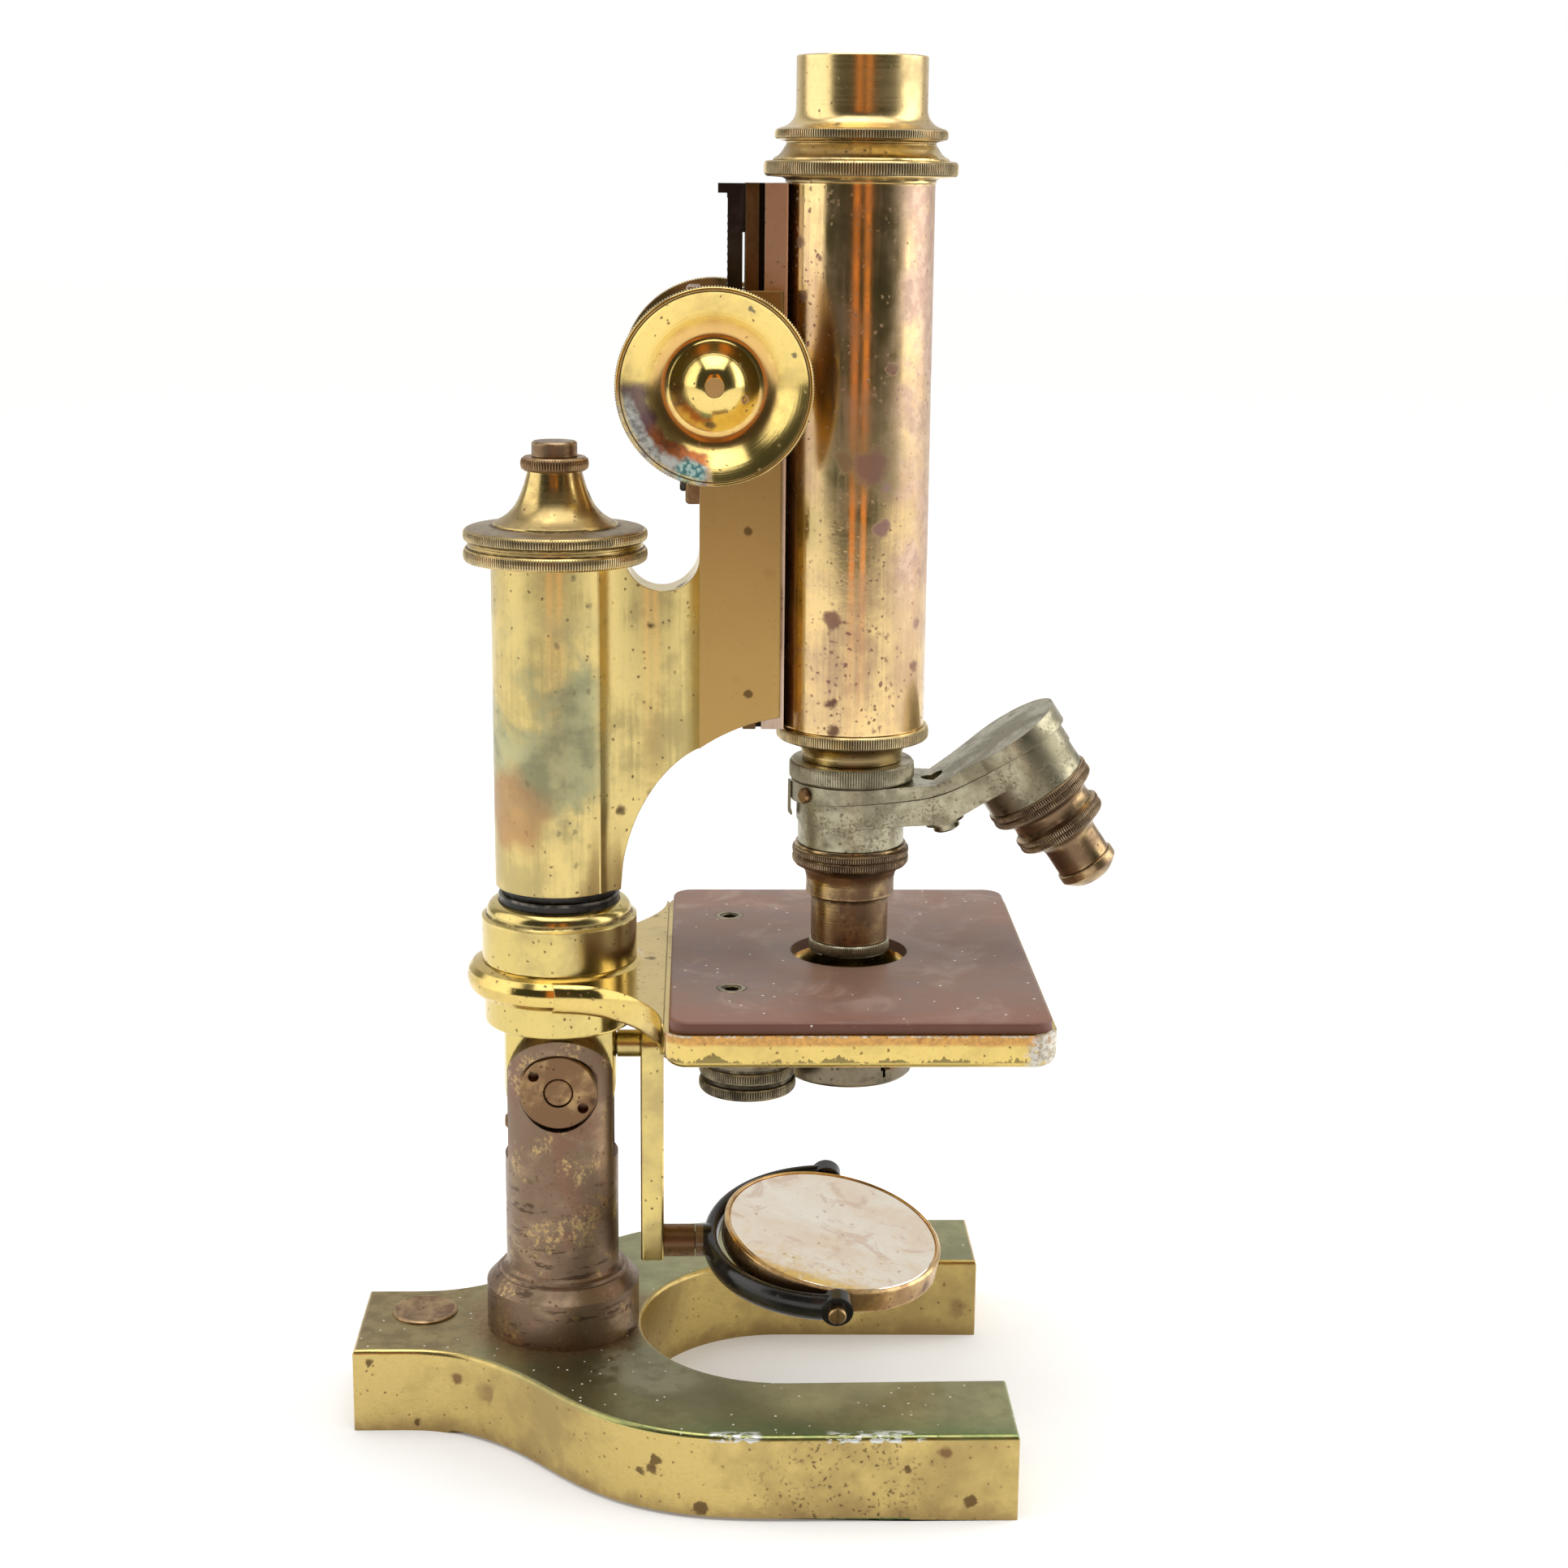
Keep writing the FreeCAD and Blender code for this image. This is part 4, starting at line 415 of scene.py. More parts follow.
def foot_marks(surf):
    # top: green, brown to the left, darker green along the near edge as a painted reflection
    top = surf.up.ramp(0.80, 0.97)
    broad = surf.noise(0.04, 5.0, 0.62, 0.3, seed=3)
    medium = surf.noise(0.22, 5.0, 0.65, 0.2, seed=13)
    tone = surf.mix(broad.ramp(0.38, 0.62), (0.36, 0.36, 0.19), (0.27, 0.27, 0.15))
    tone = surf.mix(medium.ramp(0.42, 0.66, 0.0, 0.5), tone, (0.22, 0.23, 0.12))
    left = (surf.x + broad * 16.0).ramp(-66.0, -84.0)
    brown = surf.mix(medium.ramp(0.4, 0.62), (0.33, 0.25, 0.11), (0.23, 0.165, 0.075))
    tone = surf.mix(left * 0.9, tone, brown)
    # painted reflection: darker green on the top towards the near edge
    near = (surf.y * -1.0 + broad * 14.0).ramp(54.0, 66.0)
    tone = surf.mix(near * 0.6, tone, (0.10, 0.22, 0.08))
    # brown round the pillar, and a pale smear to its right
    ring = (surf.axis_distance(COLUMN_X) + medium * 14.0).fade(24.5, 33.0)
    blend = surf.noise(0.9, 3.0, 0.6, seed=7).ramp(0.4, 0.6)
    tone = surf.mix(ring * 0.8, tone, surf.mix(blend, (0.32, 0.20, 0.11), (0.22, 0.125, 0.065)))
    smear = surf.ball((-44.0, -27.0, 19.6), 6.0, 17.0, surf.warp(0.10, 16.0, 4.0))
    smear = smear * medium.ramp(0.36, 0.56)
    tone = surf.mix(smear * 0.75, tone, (0.52, 0.52, 0.40))
    surf.tint(top * 0.94, tone)
    surf.roughen(top, 0.30 + medium * 0.16 + smear * 0.2 + ring * 0.12)
    # painted reflection: a dark green line along the rounded near edge
    line = surf.up.ramp(0.12, 0.3) * surf.up.ramp(0.97, 0.85) * surf.y.ramp(-18.0, -30.0)
    green = surf.mix(surf.x.ramp(-62.0, -48.0), (0.26, 0.24, 0.10), (0.16, 0.26, 0.10))
    surf.tint(line * 0.7, green)
    # dark stains, brown toning and corrosion specks on the sides
    side = surf.up.ramp(0.3, 0.1)
    stains = surf.specks(0.10, (0.12, 0.34), (0.70, 0.80), surf.warp(0.25, 5.0, 7.0), within=side)
    surf.tint(stains * 0.55, (0.20, 0.12, 0.06))
    low = side * (surf.z + medium * 10.0).ramp(10.5, 5.0) * 0.7
    surf.tint(low, (0.30, 0.20, 0.085))
    zone = side * surf.ball((-2.0, -58.3, 9.0), 8.0, 26.0, surf.warp(0.08, 10.0, 6.0))
    zone = zone * medium.ramp(0.34, 0.5)
    rust = surf.specks(0.8, (0.16, 0.42), (0.30, 0.5), surf.warp(0.7, 2.4, 3.0)) * zone
    surf.tint(rust * 0.85, (0.11, 0.065, 0.04))
    # single spots: centre, radius
    warped = surf.warp(0.45, 3.4, 9.0)
    for centre, radius in (
            ((-42.4, -54.3, 12.4), 1.7), ((-43.2, -54.0, 10.2), 1.5), ((-45.5, -53.0, 9.0), 1.4),
            ((-69.5, -36.6, 13.0), 1.1), ((-68.0, -38.0, 7.5), 1.3), ((24.0, -58.3, 4.5), 1.7),
            ((10.5, -58.3, 12.2), 1.0), ((-97.0, -16.3, 2.2), 1.2), ((-107.5, -16.3, 16.8), 1.1),
            ((-33.0, -57.0, 2.6), 1.6)):
        spot = surf.ball(centre, radius * 0.55, radius, warped)
        surf.tint(spot * 0.85, (0.125, 0.075, 0.035))
        surf.roughen(spot * 0.8, 0.55)
    # dried paint on two stretches of the near edge
    runs = surf.noise(0.55, 3.0, 0.6, at=surf.place * (0.55, 2.2, 1.0), seed=9).ramp(0.47, 0.54)
    runs = runs * surf.z.ramp(17.9, 18.4) * surf.y.ramp(-55.2, -56.4)
    left_run = surf.x.ramp(-31.5, -30.0) * surf.x.ramp(-19.5, -21.5)
    right_run = surf.x.ramp(-7.0, -5.0) * surf.x.ramp(15.5, 12.0)
    runs = runs * surf.calc("MAXIMUM", left_run, right_run)
    surf.tint(runs, (0.78, 0.84, 0.84))
    surf.roughen(runs, 0.5)
    surf.height = surf.height + runs * 3.0


def pillar_marks(surf):
    # brown skin, redder in places
    skin = surf.noise(0.16, 5.0, 0.66, 0.4, at=surf.place * (0.6, 0.6, 1.5), seed=3)
    surf.tint(skin.ramp(0.36, 0.60), (0.225, 0.155, 0.105))
    red = surf.noise(0.09, 4.0, 0.6, seed=9).ramp(0.52, 0.64) * 0.6
    surf.tint(red, (0.235, 0.125, 0.085))
    # darker level bands low down
    bands = surf.noise(0.34, 4.0, 0.65, 0.3, at=surf.place * (0.35, 0.35, 1.6), seed=15)
    bands = bands.ramp(0.565, 0.635) * surf.z.ramp(62.0, 52.0)
    surf.tint(bands * 0.85, (0.085, 0.055, 0.035))
    # rubbed through to gold in flecks
    flecks = surf.noise(0.9, 4.0, 0.7, seed=5).ramp(0.47, 0.60)
    flecks = flecks * surf.noise(0.11, 4.0, 0.65, 0.4, seed=21).ramp(0.51, 0.61)
    surf.tint(flecks * 0.75, (0.50, 0.35, 0.15))
    surf.roughen(flecks * 0.8, 0.26)
    pocks = surf.specks(1.3, (0.14, 0.36), (0.55, 0.7), surf.warp(1.6, 0.8, 8.0))
    pocks = pocks * surf.noise(0.12, 3.0, 0.6, seed=25).ramp(0.46, 0.6)
    surf.tint(pocks * 0.7, (0.10, 0.065, 0.045))
    surf.height = surf.height + pocks * -0.8


def bed_marks(surf):
    (_, near_y, _), (right_x, _, _) = box_mm("stage_bracket")
    joint_z = box_mm("stage_plate")[0][2]
    side = abs(surf.up).ramp(0.5, 0.3) * surf.x.ramp(-42.0, -40.0)
    fine = surf.noise(1.1, 3.0, 0.6, seed=8)
    # orange band under the stage plate
    height = surf.z + surf.noise(0.12, 4.0, 0.6, 0.2, seed=3) * 1.4
    band = side * height.ramp(joint_z - 1.9, joint_z - 0.9)
    surf.tint(band * 0.85, surf.mix(fine.ramp(0.4, 0.6), (0.56, 0.28, 0.08), (0.40, 0.20, 0.07)))
    # olive patches creeping up from below
    creep = surf.noise(0.16, 5.0, 0.7, 0.6, at=surf.place * (1.0, 1.0, 0.4), seed=11)
    olive = side * (surf.z + creep * -11.0).fade(94.8, 95.05)
    surf.tint(olive * 0.85, (0.21, 0.17, 0.065))
    surf.roughen(olive, 0.45)
    # pale crust in the near right corner and along the joint with the plate
    corner = surf.ball((right_x - 1.0, near_y + 1.0, 101.5), 4.6, 6.4, surf.warp(0.5, 2.6, 2.0))
    corner = corner * surf.noise(0.7, 5.0, 0.7, seed=6).ramp(0.36, 0.46)
    line = side * surf.z.ramp(joint_z - 0.55, joint_z - 0.2)
    line = line * surf.noise(0.5, 4.0, 0.7, seed=17).ramp(0.46, 0.54)
    crust = surf.calc("MAXIMUM", corner, line)
    surf.tint(crust, surf.mix(fine.ramp(0.4, 0.6), (0.84, 0.82, 0.77), (0.62, 0.57, 0.47)))
    surf.roughen(crust, 0.85)
    surf.height = surf.height + crust * fine * 5.0


def head_marks(surf):
    # grey-brown film and painted shade on the flats that face up, and loose brown patches
    flat = surf.up.ramp(0.86, 0.95)
    blend = surf.noise(0.35, 4.0, 0.65, seed=3).ramp(0.4, 0.6)
    # partly a grey-brown film, partly painted shade on the up-facing flats
    surf.tint(flat * 0.85, surf.mix(blend, (0.34, 0.28, 0.20), (0.25, 0.20, 0.15)))
    surf.roughen(flat, 0.42)
    patches = surf.noise(0.22, 5.0, 0.65, 0.4, seed=12).ramp(0.50, 0.66, 0.0, 0.6)
    surf.tint(patches, (0.33, 0.23, 0.09))


def nickel_marks(surf):
    # plating gone in a fine grey-olive speckle, and painted shade where it faces down
    bare = surf.noise(1.5, 4.0, 0.72, seed=4).ramp(0.49, 0.62)
    bare = bare * surf.noise(0.10, 4.0, 0.62, 0.3, seed=14).ramp(0.44, 0.60)
    surf.tint(bare * 0.62, (0.165, 0.145, 0.09))
    surf.roughen(bare * 0.8, 0.5)
    surf.height = surf.height + bare * -0.7
    # painted shade: darker where the surface faces down
    surf.tint(surf.up.ramp(-0.1, -0.5) * 0.6, (0.20, 0.16, 0.09))


def slide_marks(surf):
    # from the left: brown flange, painted shadow in the groove, bar, pale right-hand lip
    past_flange = surf.x.ramp(-21.45, -21.35)
    blend = surf.noise(0.3, 3.0, seed=3).ramp(0.4, 0.6)
    brown = surf.mix(blend, (0.14, 0.085, 0.04), (0.10, 0.07, 0.03))
    surf.colour = surf.mix(past_flange, brown, surf.colour)
    # painted shadow: the groove is tinted near black
    groove_shadow = surf.x.ramp(-21.45, -21.35) * surf.x.ramp(-20.15, -20.25)
    surf.tint(groove_shadow, (0.012, 0.010, 0.008))
    surf.tint(surf.x.ramp(-15.85, -15.6) * 0.8, (0.80, 0.62, 0.50))


def shaft_marks(surf):
    # brass-coloured ends
    ends = abs(surf.y).ramp(14.0, 14.5)
    surf.tint(ends, (0.70, 0.54, 0.24))
    surf.roughen(ends, 0.3)


def fork_marks(surf):
    # brown left end
    surf.tint(surf.x.ramp(-32.2, -32.6), (0.24, 0.15, 0.075))


# ------------------------------------------------------------------ materials

tube_gold = metal(
    "gold_tube", clean=(0.84, 0.61, 0.28), dull=(0.58, 0.39, 0.23), rough=(0.11, 0.26),
    tarnish=0.48, size=40, spots=0.25, pits=0.45, streak=0.25, seed=4, marks=tube_marks,
    dark=(0.20, 0.10, 0.08))
lacquer = metal(
    "gold_lacquer", clean=(0.74, 0.56, 0.24), dull=(0.42, 0.31, 0.15), rough=(0.16, 0.34),
    tarnish=0.55, size=24, spots=0.3, pits=0.4, turn=0.8, seed=9)
eyepiece_gold = metal(
    "eyepiece_gold", clean=(0.76, 0.57, 0.26), dull=(0.46, 0.34, 0.17), rough=(0.24, 0.38),
    tarnish=0.42, size=26, spots=0.15, pits=0.3, turn=1.0, seed=14)
# knurl roots filled dark and crests lightened: partly dirt and wear, partly painted shade and a
# painted highlight
knurled = metal(
    "knurled_brass", clean=(0.66, 0.50, 0.24), dull=(0.34, 0.27, 0.15), rough=(0.28, 0.45),
    tarnish=0.5, size=9, pits=0.2, dirt_and_shade=(0.045, 0.032, 0.02), seed=5, wear_and_sheen=(0.80, 0.68, 0.44),
    gap=1.0)
near_gold = metal(
    "knob_gold", clean=(0.80, 0.60, 0.20), dull=(0.60, 0.44, 0.16), rough=(0.14, 0.26),
    tarnish=0.35, size=20, spots=0.2, pits=0.25, turn=0.5, seed=6, marks=knob_marks)
far_gold = metal(
    "knob_far_gold", clean=(0.72, 0.50, 0.18), dull=(0.45, 0.30, 0.13), rough=(0.16, 0.30),
    tarnish=0.5, size=20, spots=0.2, pits=0.3, turn=0.5, seed=16)
arm_brass = metal(
    "arm_brass", clean=(0.70, 0.545, 0.215), dull=(0.50, 0.40, 0.17), rough=(0.20, 0.33),
    tarnish=0.45, size=32, spots=0.22, pits=0.3, streak=0.3, seed=7, marks=arm_marks,
    bevel=0.35)
foot_brass = metal(
    "foot_brass", clean=(0.60, 0.455, 0.165), dull=(0.42, 0.31, 0.12), rough=(0.26, 0.38),
    tarnish=0.45, size=36, spots=0.25, pits=0.35, seed=8, marks=foot_marks, dust=0.9,
    grain=True, dark=(0.18, 0.09, 0.05))
pillar_bronze = metal(
    "pillar_bronze", clean=(0.33, 0.235, 0.15), dull=(0.22, 0.15, 0.10), rough=(0.30, 0.44),
    tarnish=0.6, size=16, spots=0.4, pits=0.7, seed=10, bevel=0.3, dark=(0.10, 0.055, 0.03),
    marks=pillar_marks)
bronze = metal(
    "brown_bronze", clean=(0.42, 0.28, 0.13), dull=(0.22, 0.13, 0.07), rough=(0.28, 0.45),
    tarnish=0.6, size=12, spots=0.4, pits=0.7, turn=1.0, seed=12, bevel=0.2,
    dark=(0.08, 0.045, 0.03))
bright = metal(
    "bright_brass", clean=(0.66, 0.52, 0.185), dull=(0.47, 0.365, 0.15), rough=(0.13, 0.25),
    tarnish=0.42, size=30, spots=0.3, pits=0.35, seed=13, bevel=0.35, dust=0.3)
bed_brass = metal(
    "stage_bed_brass", clean=(0.70, 0.52, 0.17), dull=(0.52, 0.38, 0.13), rough=(0.13, 0.25),
    tarnish=0.4, size=30, spots=0.3, pits=0.5, seed=33, bevel=0.35, marks=bed_marks)
head_brass = metal(
    "head_brass", clean=(0.66, 0.49, 0.19), dull=(0.40, 0.29, 0.12), rough=(0.16, 0.32),
    tarnish=0.5, size=14, spots=0.3, pits=0.4, turn=0.8, seed=34, marks=head_marks)
aged = metal(
    "aged_brass", clean=(0.43, 0.30, 0.145), dull=(0.20, 0.13, 0.075), rough=(0.20, 0.38),
    tarnish=0.55, size=12, spots=0.3, pits=0.4, turn=1.0, seed=15)
# knurl roots filled dark and crests lightened: partly dirt and wear, partly painted shade and a
# painted highlight
objective_knurl = metal(
    "objective_knurl", clean=(0.36, 0.26, 0.15), dull=(0.18, 0.12, 0.08), rough=(0.3, 0.46),
    tarnish=0.55, size=6, pits=0.2, seed=17, dirt_and_shade=(0.03, 0.02, 0.015),
    wear_and_sheen=(0.50, 0.39, 0.26), gap=1.0)
nickel = metal(
    "nickel_silver", clean=(0.43, 0.395, 0.275), dull=(0.26, 0.235, 0.155), rough=(0.26, 0.42),
    tarnish=0.5, size=14, spots=0.5, pits=0.8, seed=18, bevel=0.25, marks=nickel_marks,
    dark=(0.16, 0.15, 0.10), dirt_and_shade=(0.10, 0.09, 0.06))
slide_brass = metal(
    "slide_brass", clean=(0.55, 0.44, 0.35), dull=(0.38, 0.28, 0.21), rough=(0.30, 0.44),
    tarnish=0.5, size=22, spots=0.3, pits=0.5, streak=0.9, seed=19, bevel=0.2,
    marks=slide_marks)
pinion_steel = metal(
    "pinion_steel", clean=(0.10, 0.09, 0.08), dull=(0.06, 0.055, 0.05), rough=(0.3, 0.45),
    tarnish=0.4, size=10, pits=0.2, seed=25, bevel=0.12, marks=shaft_marks)
black = metal(
    "black_steel", clean=(0.035, 0.035, 0.035), dull=(0.06, 0.055, 0.05), rough=(0.28, 0.45),
    tarnish=0.4, size=10, pits=0.2, seed=20, dirt_and_shade=(0.02, 0.015, 0.01),
    wear_and_sheen=(0.25, 0.23, 0.2), dark=(0.02, 0.02, 0.02), bevel=0.2)
dark_bronze = metal(
    "dark_bronze", clean=(0.20, 0.165, 0.11), dull=(0.09, 0.075, 0.05), rough=(0.30, 0.45),
    tarnish=0.5, size=10, spots=0.2, pits=0.5, seed=22, dirt_and_shade=(0.03, 0.025, 0.02),
    wear_and_sheen=(0.50, 0.42, 0.26), dark=(0.05, 0.04, 0.03), bevel=0.2)
cell_brass = metal(
    "mirror_cell_brass", clean=(0.66, 0.44, 0.20), dull=(0.36, 0.22, 0.11),
    rough=(0.22, 0.38), tarnish=0.5, size=14, spots=0.5, pits=0.6, seed=23)
enamel = metal(
    "black_enamel", clean=(0.012, 0.012, 0.012), dull=(0.022, 0.020, 0.018),
    rough=(0.16, 0.30), tarnish=0.4, size=9, pits=0.15, metallic=0.0,
    dirt_and_shade=(0.01, 0.01, 0.01), wear_and_sheen=(0.3, 0.22, 0.1), dark=(0.05, 0.03, 0.02), seed=24,
    bevel=0.5, bump=0.05, marks=fork_marks)


def vulcanite_material():
    surf = Surface("vulcanite")
    broad = surf.noise(0.03, 5.0, 0.6, 0.4, seed=2)
    medium = surf.noise(0.2, 4.0, 0.6, seed=5)
    top = surf.up.ramp(0.6, 0.9)
    surf.colour = surf.mix(broad.ramp(0.36, 0.66), (0.225, 0.118, 0.076), (0.200, 0.130, 0.108))
    surf.tint(medium.ramp(0.45, 0.75, 0.0, 0.5), (0.28, 0.165, 0.115))
    pale = surf.noise(0.055, 5.0, 0.65, 0.8, seed=14).ramp(0.50, 0.68)
    surf.tint(pale * 0.55, (0.38, 0.27, 0.215))
    # redder near edge and sides
    surf.tint(surf.y.ramp(-36.0, -50.0) * 0.6, (0.245, 0.105, 0.070))
    surf.tint((1.0 - top) * 0.8, (0.15, 0.058, 0.040))
    # polished halo round the aperture
    halo = surf.axis_distance(0.0).fade(15.0, 24.0)
    surf.tint(halo * 0.45, (0.26, 0.16, 0.11))
    # fine scratches along x and along y
    along_x = surf.warp(0.02, 8.0, 2.0) * (0.05, 1.0, 1.0)
    along_y = surf.warp(0.02, 12.0, 5.0) * (1.0, 0.06, 1.0)
    scratches = surf.noise(1.6, 2.0, 0.6, at=along_x, seed=3).ramp(0.66, 0.72)
    scratches = scratches + surf.noise(1.4, 2.0, 0.6, at=along_y, seed=6).ramp(0.68, 0.74)
    scratches = scratches * surf.noise(0.05, 2.0, seed=9).ramp(0.45, 0.6)
    surf.tint(scratches * 0.25, (0.45, 0.38, 0.34))
    # white flecks
    surf.tint(surf.specks(0.42, (0.09, 0.15), (0.80, 0.83), seed=4), (0.75, 0.72, 0.68))
    surf.set(Base_Color=surf.colour, Roughness=0.36 + medium * 0.16 + halo * -0.08,
             Specular_IOR_Level=0.38)
    surf.relief(scratches * -1.0 + surf.noise(1.5, 3.0, seed=8) * 0.6, depth=0.02, bevel=0.4)
    return surf.material


def mirror_material():
    surf = Surface("mirror_silver")
    broad = surf.noise(0.06, 5.0, 0.6, 0.5, seed=2)
    surf.colour = surf.mix(broad.ramp(0.35, 0.65), (0.96, 0.89, 0.77), (0.90, 0.75, 0.58))
    brown = surf.noise(0.10, 5.0, 0.7, 1.2, seed=9).ramp(0.52, 0.64)
    surf.tint(brown * 0.6, (0.72, 0.52, 0.40))
    spots = surf.specks(0.5, (0.1, 0.3), (0.82, 0.9), surf.warp(0.8, 1.4, 3.0))
    surf.tint(spots * 0.5, (0.45, 0.32, 0.2))
    film = surf.noise(0.5, 4.0, 0.65, seed=5).ramp(0.45, 0.75)
    surf.set(Base_Color=surf.colour, Metallic=1.0, Roughness=0.05 + film * 0.22 + spots * 0.3)
    return surf.material


def glass_material():
    surf = Surface("lens_glass")
    smears = surf.noise(0.6, 4.0, seed=2).ramp(0.55, 0.8)
    surf.set(Base_Color=(0.95, 0.98, 0.97, 1), Roughness=0.015 + smears * 0.05,
             Transmission_Weight=1.0, IOR=1.52)
    return surf.material


vulcanite = vulcanite_material()
mirror = mirror_material()
glass = glass_material()

# ------------------------------------------------------------------ CAD pieces kept

for node, material in {
        "pillar": pillar_bronze, "pillar_bolt": black, "joint_bolt": bronze,
        "joint_nut": bronze, "limb_joint": bright, "limb_stop_screw": bronze,
        "stage_bracket": bed_brass, "stage_plate": vulcanite, "arm": arm_brass,
        "pinion_housing": bronze, "housing_screws": black, "micrometer_screw": black,
        "pinion_shaft": pinion_steel, "rack": black, "tube_slide": slide_brass,
        "nose_fixed_plate": nickel, "nose_pivot_screw": nickel, "nose_spring_clip": nickel,
        "nose_clip_screw": bronze, "nose_turning_plate": nickel, "tail_bar": bright,
        "mirror_arm": bronze, "mirror_fork": enamel, "fork_screws": bronze,
        "iris_mount": dark_bronze, "iris_lever": bronze, "iris_leaves": black,
        "objective_lenses": glass, "eye_lens": glass, "field_lens": glass,
        "eyepiece_stop": black}.items():
    piece = frame["nodes"][node]
    for slot in piece.material_slots:
        slot.material = material
    if not piece.material_slots:
        piece.data.materials.append(material)

# ------------------------------------------------------------------ mesh helpers


def new_object(name, verts, faces, material, normals=None, edge=None, loc=None, smooth=True):
    mesh = bpy.data.meshes.new(name)
    mesh.from_pydata(verts, [], faces)
    mesh.update()
    if edge is not None:
        attribute = mesh.attributes.new("edge", "FLOAT", "POINT")
        attribute.data.foreach_set("value", edge)
    if loc is not None:
        attribute = mesh.attributes.new("loc", "FLOAT_VECTOR", "POINT")
        attribute.data.foreach_set("vector", [value for point in loc for value in point])
    mesh.polygons.foreach_set("use_smooth", [smooth] * len(mesh.polygons))
    if normals is not None:
        mesh.normals_split_custom_set_from_vertices(normals)
    mesh.materials.append(material)
    obj = bpy.data.objects.new(name, mesh)
    bpy.context.scene.collection.objects.link(obj)
    return obj


def stands_for(objects, node):
    """The objects ride on the node's body, and the node is hidden."""
    for obj in objects:
        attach(obj, BODY[node])
    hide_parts(node)


def rotated(vector, angle):
    cos, sin = math.cos(angle), math.sin(angle)
    return Vector((vector.x * cos - vector.y * sin, vector.x * sin + vector.y * cos))


def turn_between(into, onward):
    """Signed angle from one 2D direction to the next."""
    return math.atan2(into.x * onward.y - into.y * onward.x, into.dot(onward))


SHARP = math.radians(28)   # corners that turn less are left as they are
CORNER_STEPS = 3
GUARD = 0.8                # extra point this far from a rounded corner keeps the face flat


def round_corners(outline, rounding):
    """Rounds a closed (radius, z) outline. Gives (radius, z, normal radius, normal z, edge),
    where edge is 1 on outer corners, -1 in inner ones and 0 elsewhere."""
    following = outline[1:] + outline[:1]
    if sum(p[0] * q[1] - q[0] * p[1] for p, q in zip(outline, following)) < 0:
        outline = outline[::-1]
    points = []
    for i, corner in enumerate(outline):
        before, after = outline[i - 1], outline[(i + 1) % len(outline)]
        into = Vector((corner[0] - before[0], corner[1] - before[1]))
        onward = Vector((after[0] - corner[0], after[1] - corner[1]))
        length_in, length_on = into.length, onward.length
        into, onward = into / length_in, onward / length_on
        turn = turn_between(into, onward)
        normal_in, normal_on = Vector((into.y, -into.x)), Vector((onward.y, -onward.x))
        if corner[0] < 1e-6:
            points.append((0.0, corner[1], 0.0, max(normal_on.y, normal_in.y, key=abs), 0.0))
            continue
        if abs(turn) < SHARP:
            normal = (normal_in + normal_on).normalized()
            points.append((*corner, *normal, 0.0))
            continue
        side = 1.0 if turn > 0 else -1.0
        half_tan = math.tan(abs(turn) / 2)
        cut = min(rounding * half_tan, 0.45 * length_in, 0.45 * length_on)
        radius = cut / half_tan
        start, end = Vector(corner) - into * cut, Vector(corner) + onward * cut
        if length_in > 3 * GUARD and cut < 0.4 * length_in:
            points.append((*(start - into * GUARD), *normal_in, 0.0))
        centre = start - normal_in * radius * side
        for step in range(CORNER_STEPS + 1):
            normal = rotated(normal_in, turn * step / CORNER_STEPS)
            point = centre + normal * radius * side
            points.append((max(point.x, 0.0), point.y, *normal, side))
        if length_on > 3 * GUARD and cut < 0.4 * length_on:
            points.append((*(end + onward * GUARD), *normal_on, 0.0))
    return points


def turned(name, profile, material, place=(0, 0, 0), axis=(0, 0, 1), rounding=0.12,
           segments=176, bands=(), knurl_material=None):
    """A piece turned from a closed (radius, z) profile, and its knurled bands as objects of
    their own. bands: (lower z, upper z, radius, teeth, tooth depth, crown)."""
    rotation = Vector((0, 0, 1)).rotation_difference(Vector(axis).normalized()).to_matrix()
    origin = Vector(place)

    def polar(radius, angle, z):
        local = Vector((radius * math.cos(angle), radius * math.sin(angle), z))
        return (rotation @ local + origin) * MM

    verts, normals, edges, locs, rows = [], [], [], [], []
    all_angles = [2 * math.pi * i / segments for i in range(segments)]
    for radius, z, normal_r, normal_z, edge in round_corners(profile, rounding):
        for low, high, rim, _, depth, _ in bands:
            # the body stays below the roots of the teeth
            if low - 0.3 < z < high + 0.3:
                radius = min(radius, rim - depth - 0.12)
        on_axis = radius < 1e-6
        angles = all_angles[:1] if on_axis else all_angles
        first = len(verts)
        for angle in angles:
            verts.append(polar(radius, angle, z))
            normals.append(rotation @ Vector(
                (normal_r * math.cos(angle), normal_r * math.sin(angle), normal_z)))
        edges += [edge] * len(angles)
        locs += [(radius, z, 0.0)] * len(angles)
        rows.append([first] * segments if on_axis else list(range(first, len(verts))))
    faces = []
    for row, above in zip(rows, rows[1:] + rows[:1]):
        for i in range(segments):
            k = (i + 1) % segments
            face = list(dict.fromkeys((row[i], row[k], above[k], above[i])))
            if len(face) > 2:
                faces.append(face)
    objects = [new_object(name, verts, faces, material, normals, edges, locs)]
    for i, band in enumerate(bands):
        objects.append(knurl(f"{name}_knurl{i + 1}", *band, knurl_material or material, polar))
    return objects


TOOTH = ((0.0, 0.0), (0.30, 1.0), (0.52, 1.0), (0.82, 0.0))   # share of the pitch, height
KNURL_ROWS = 7


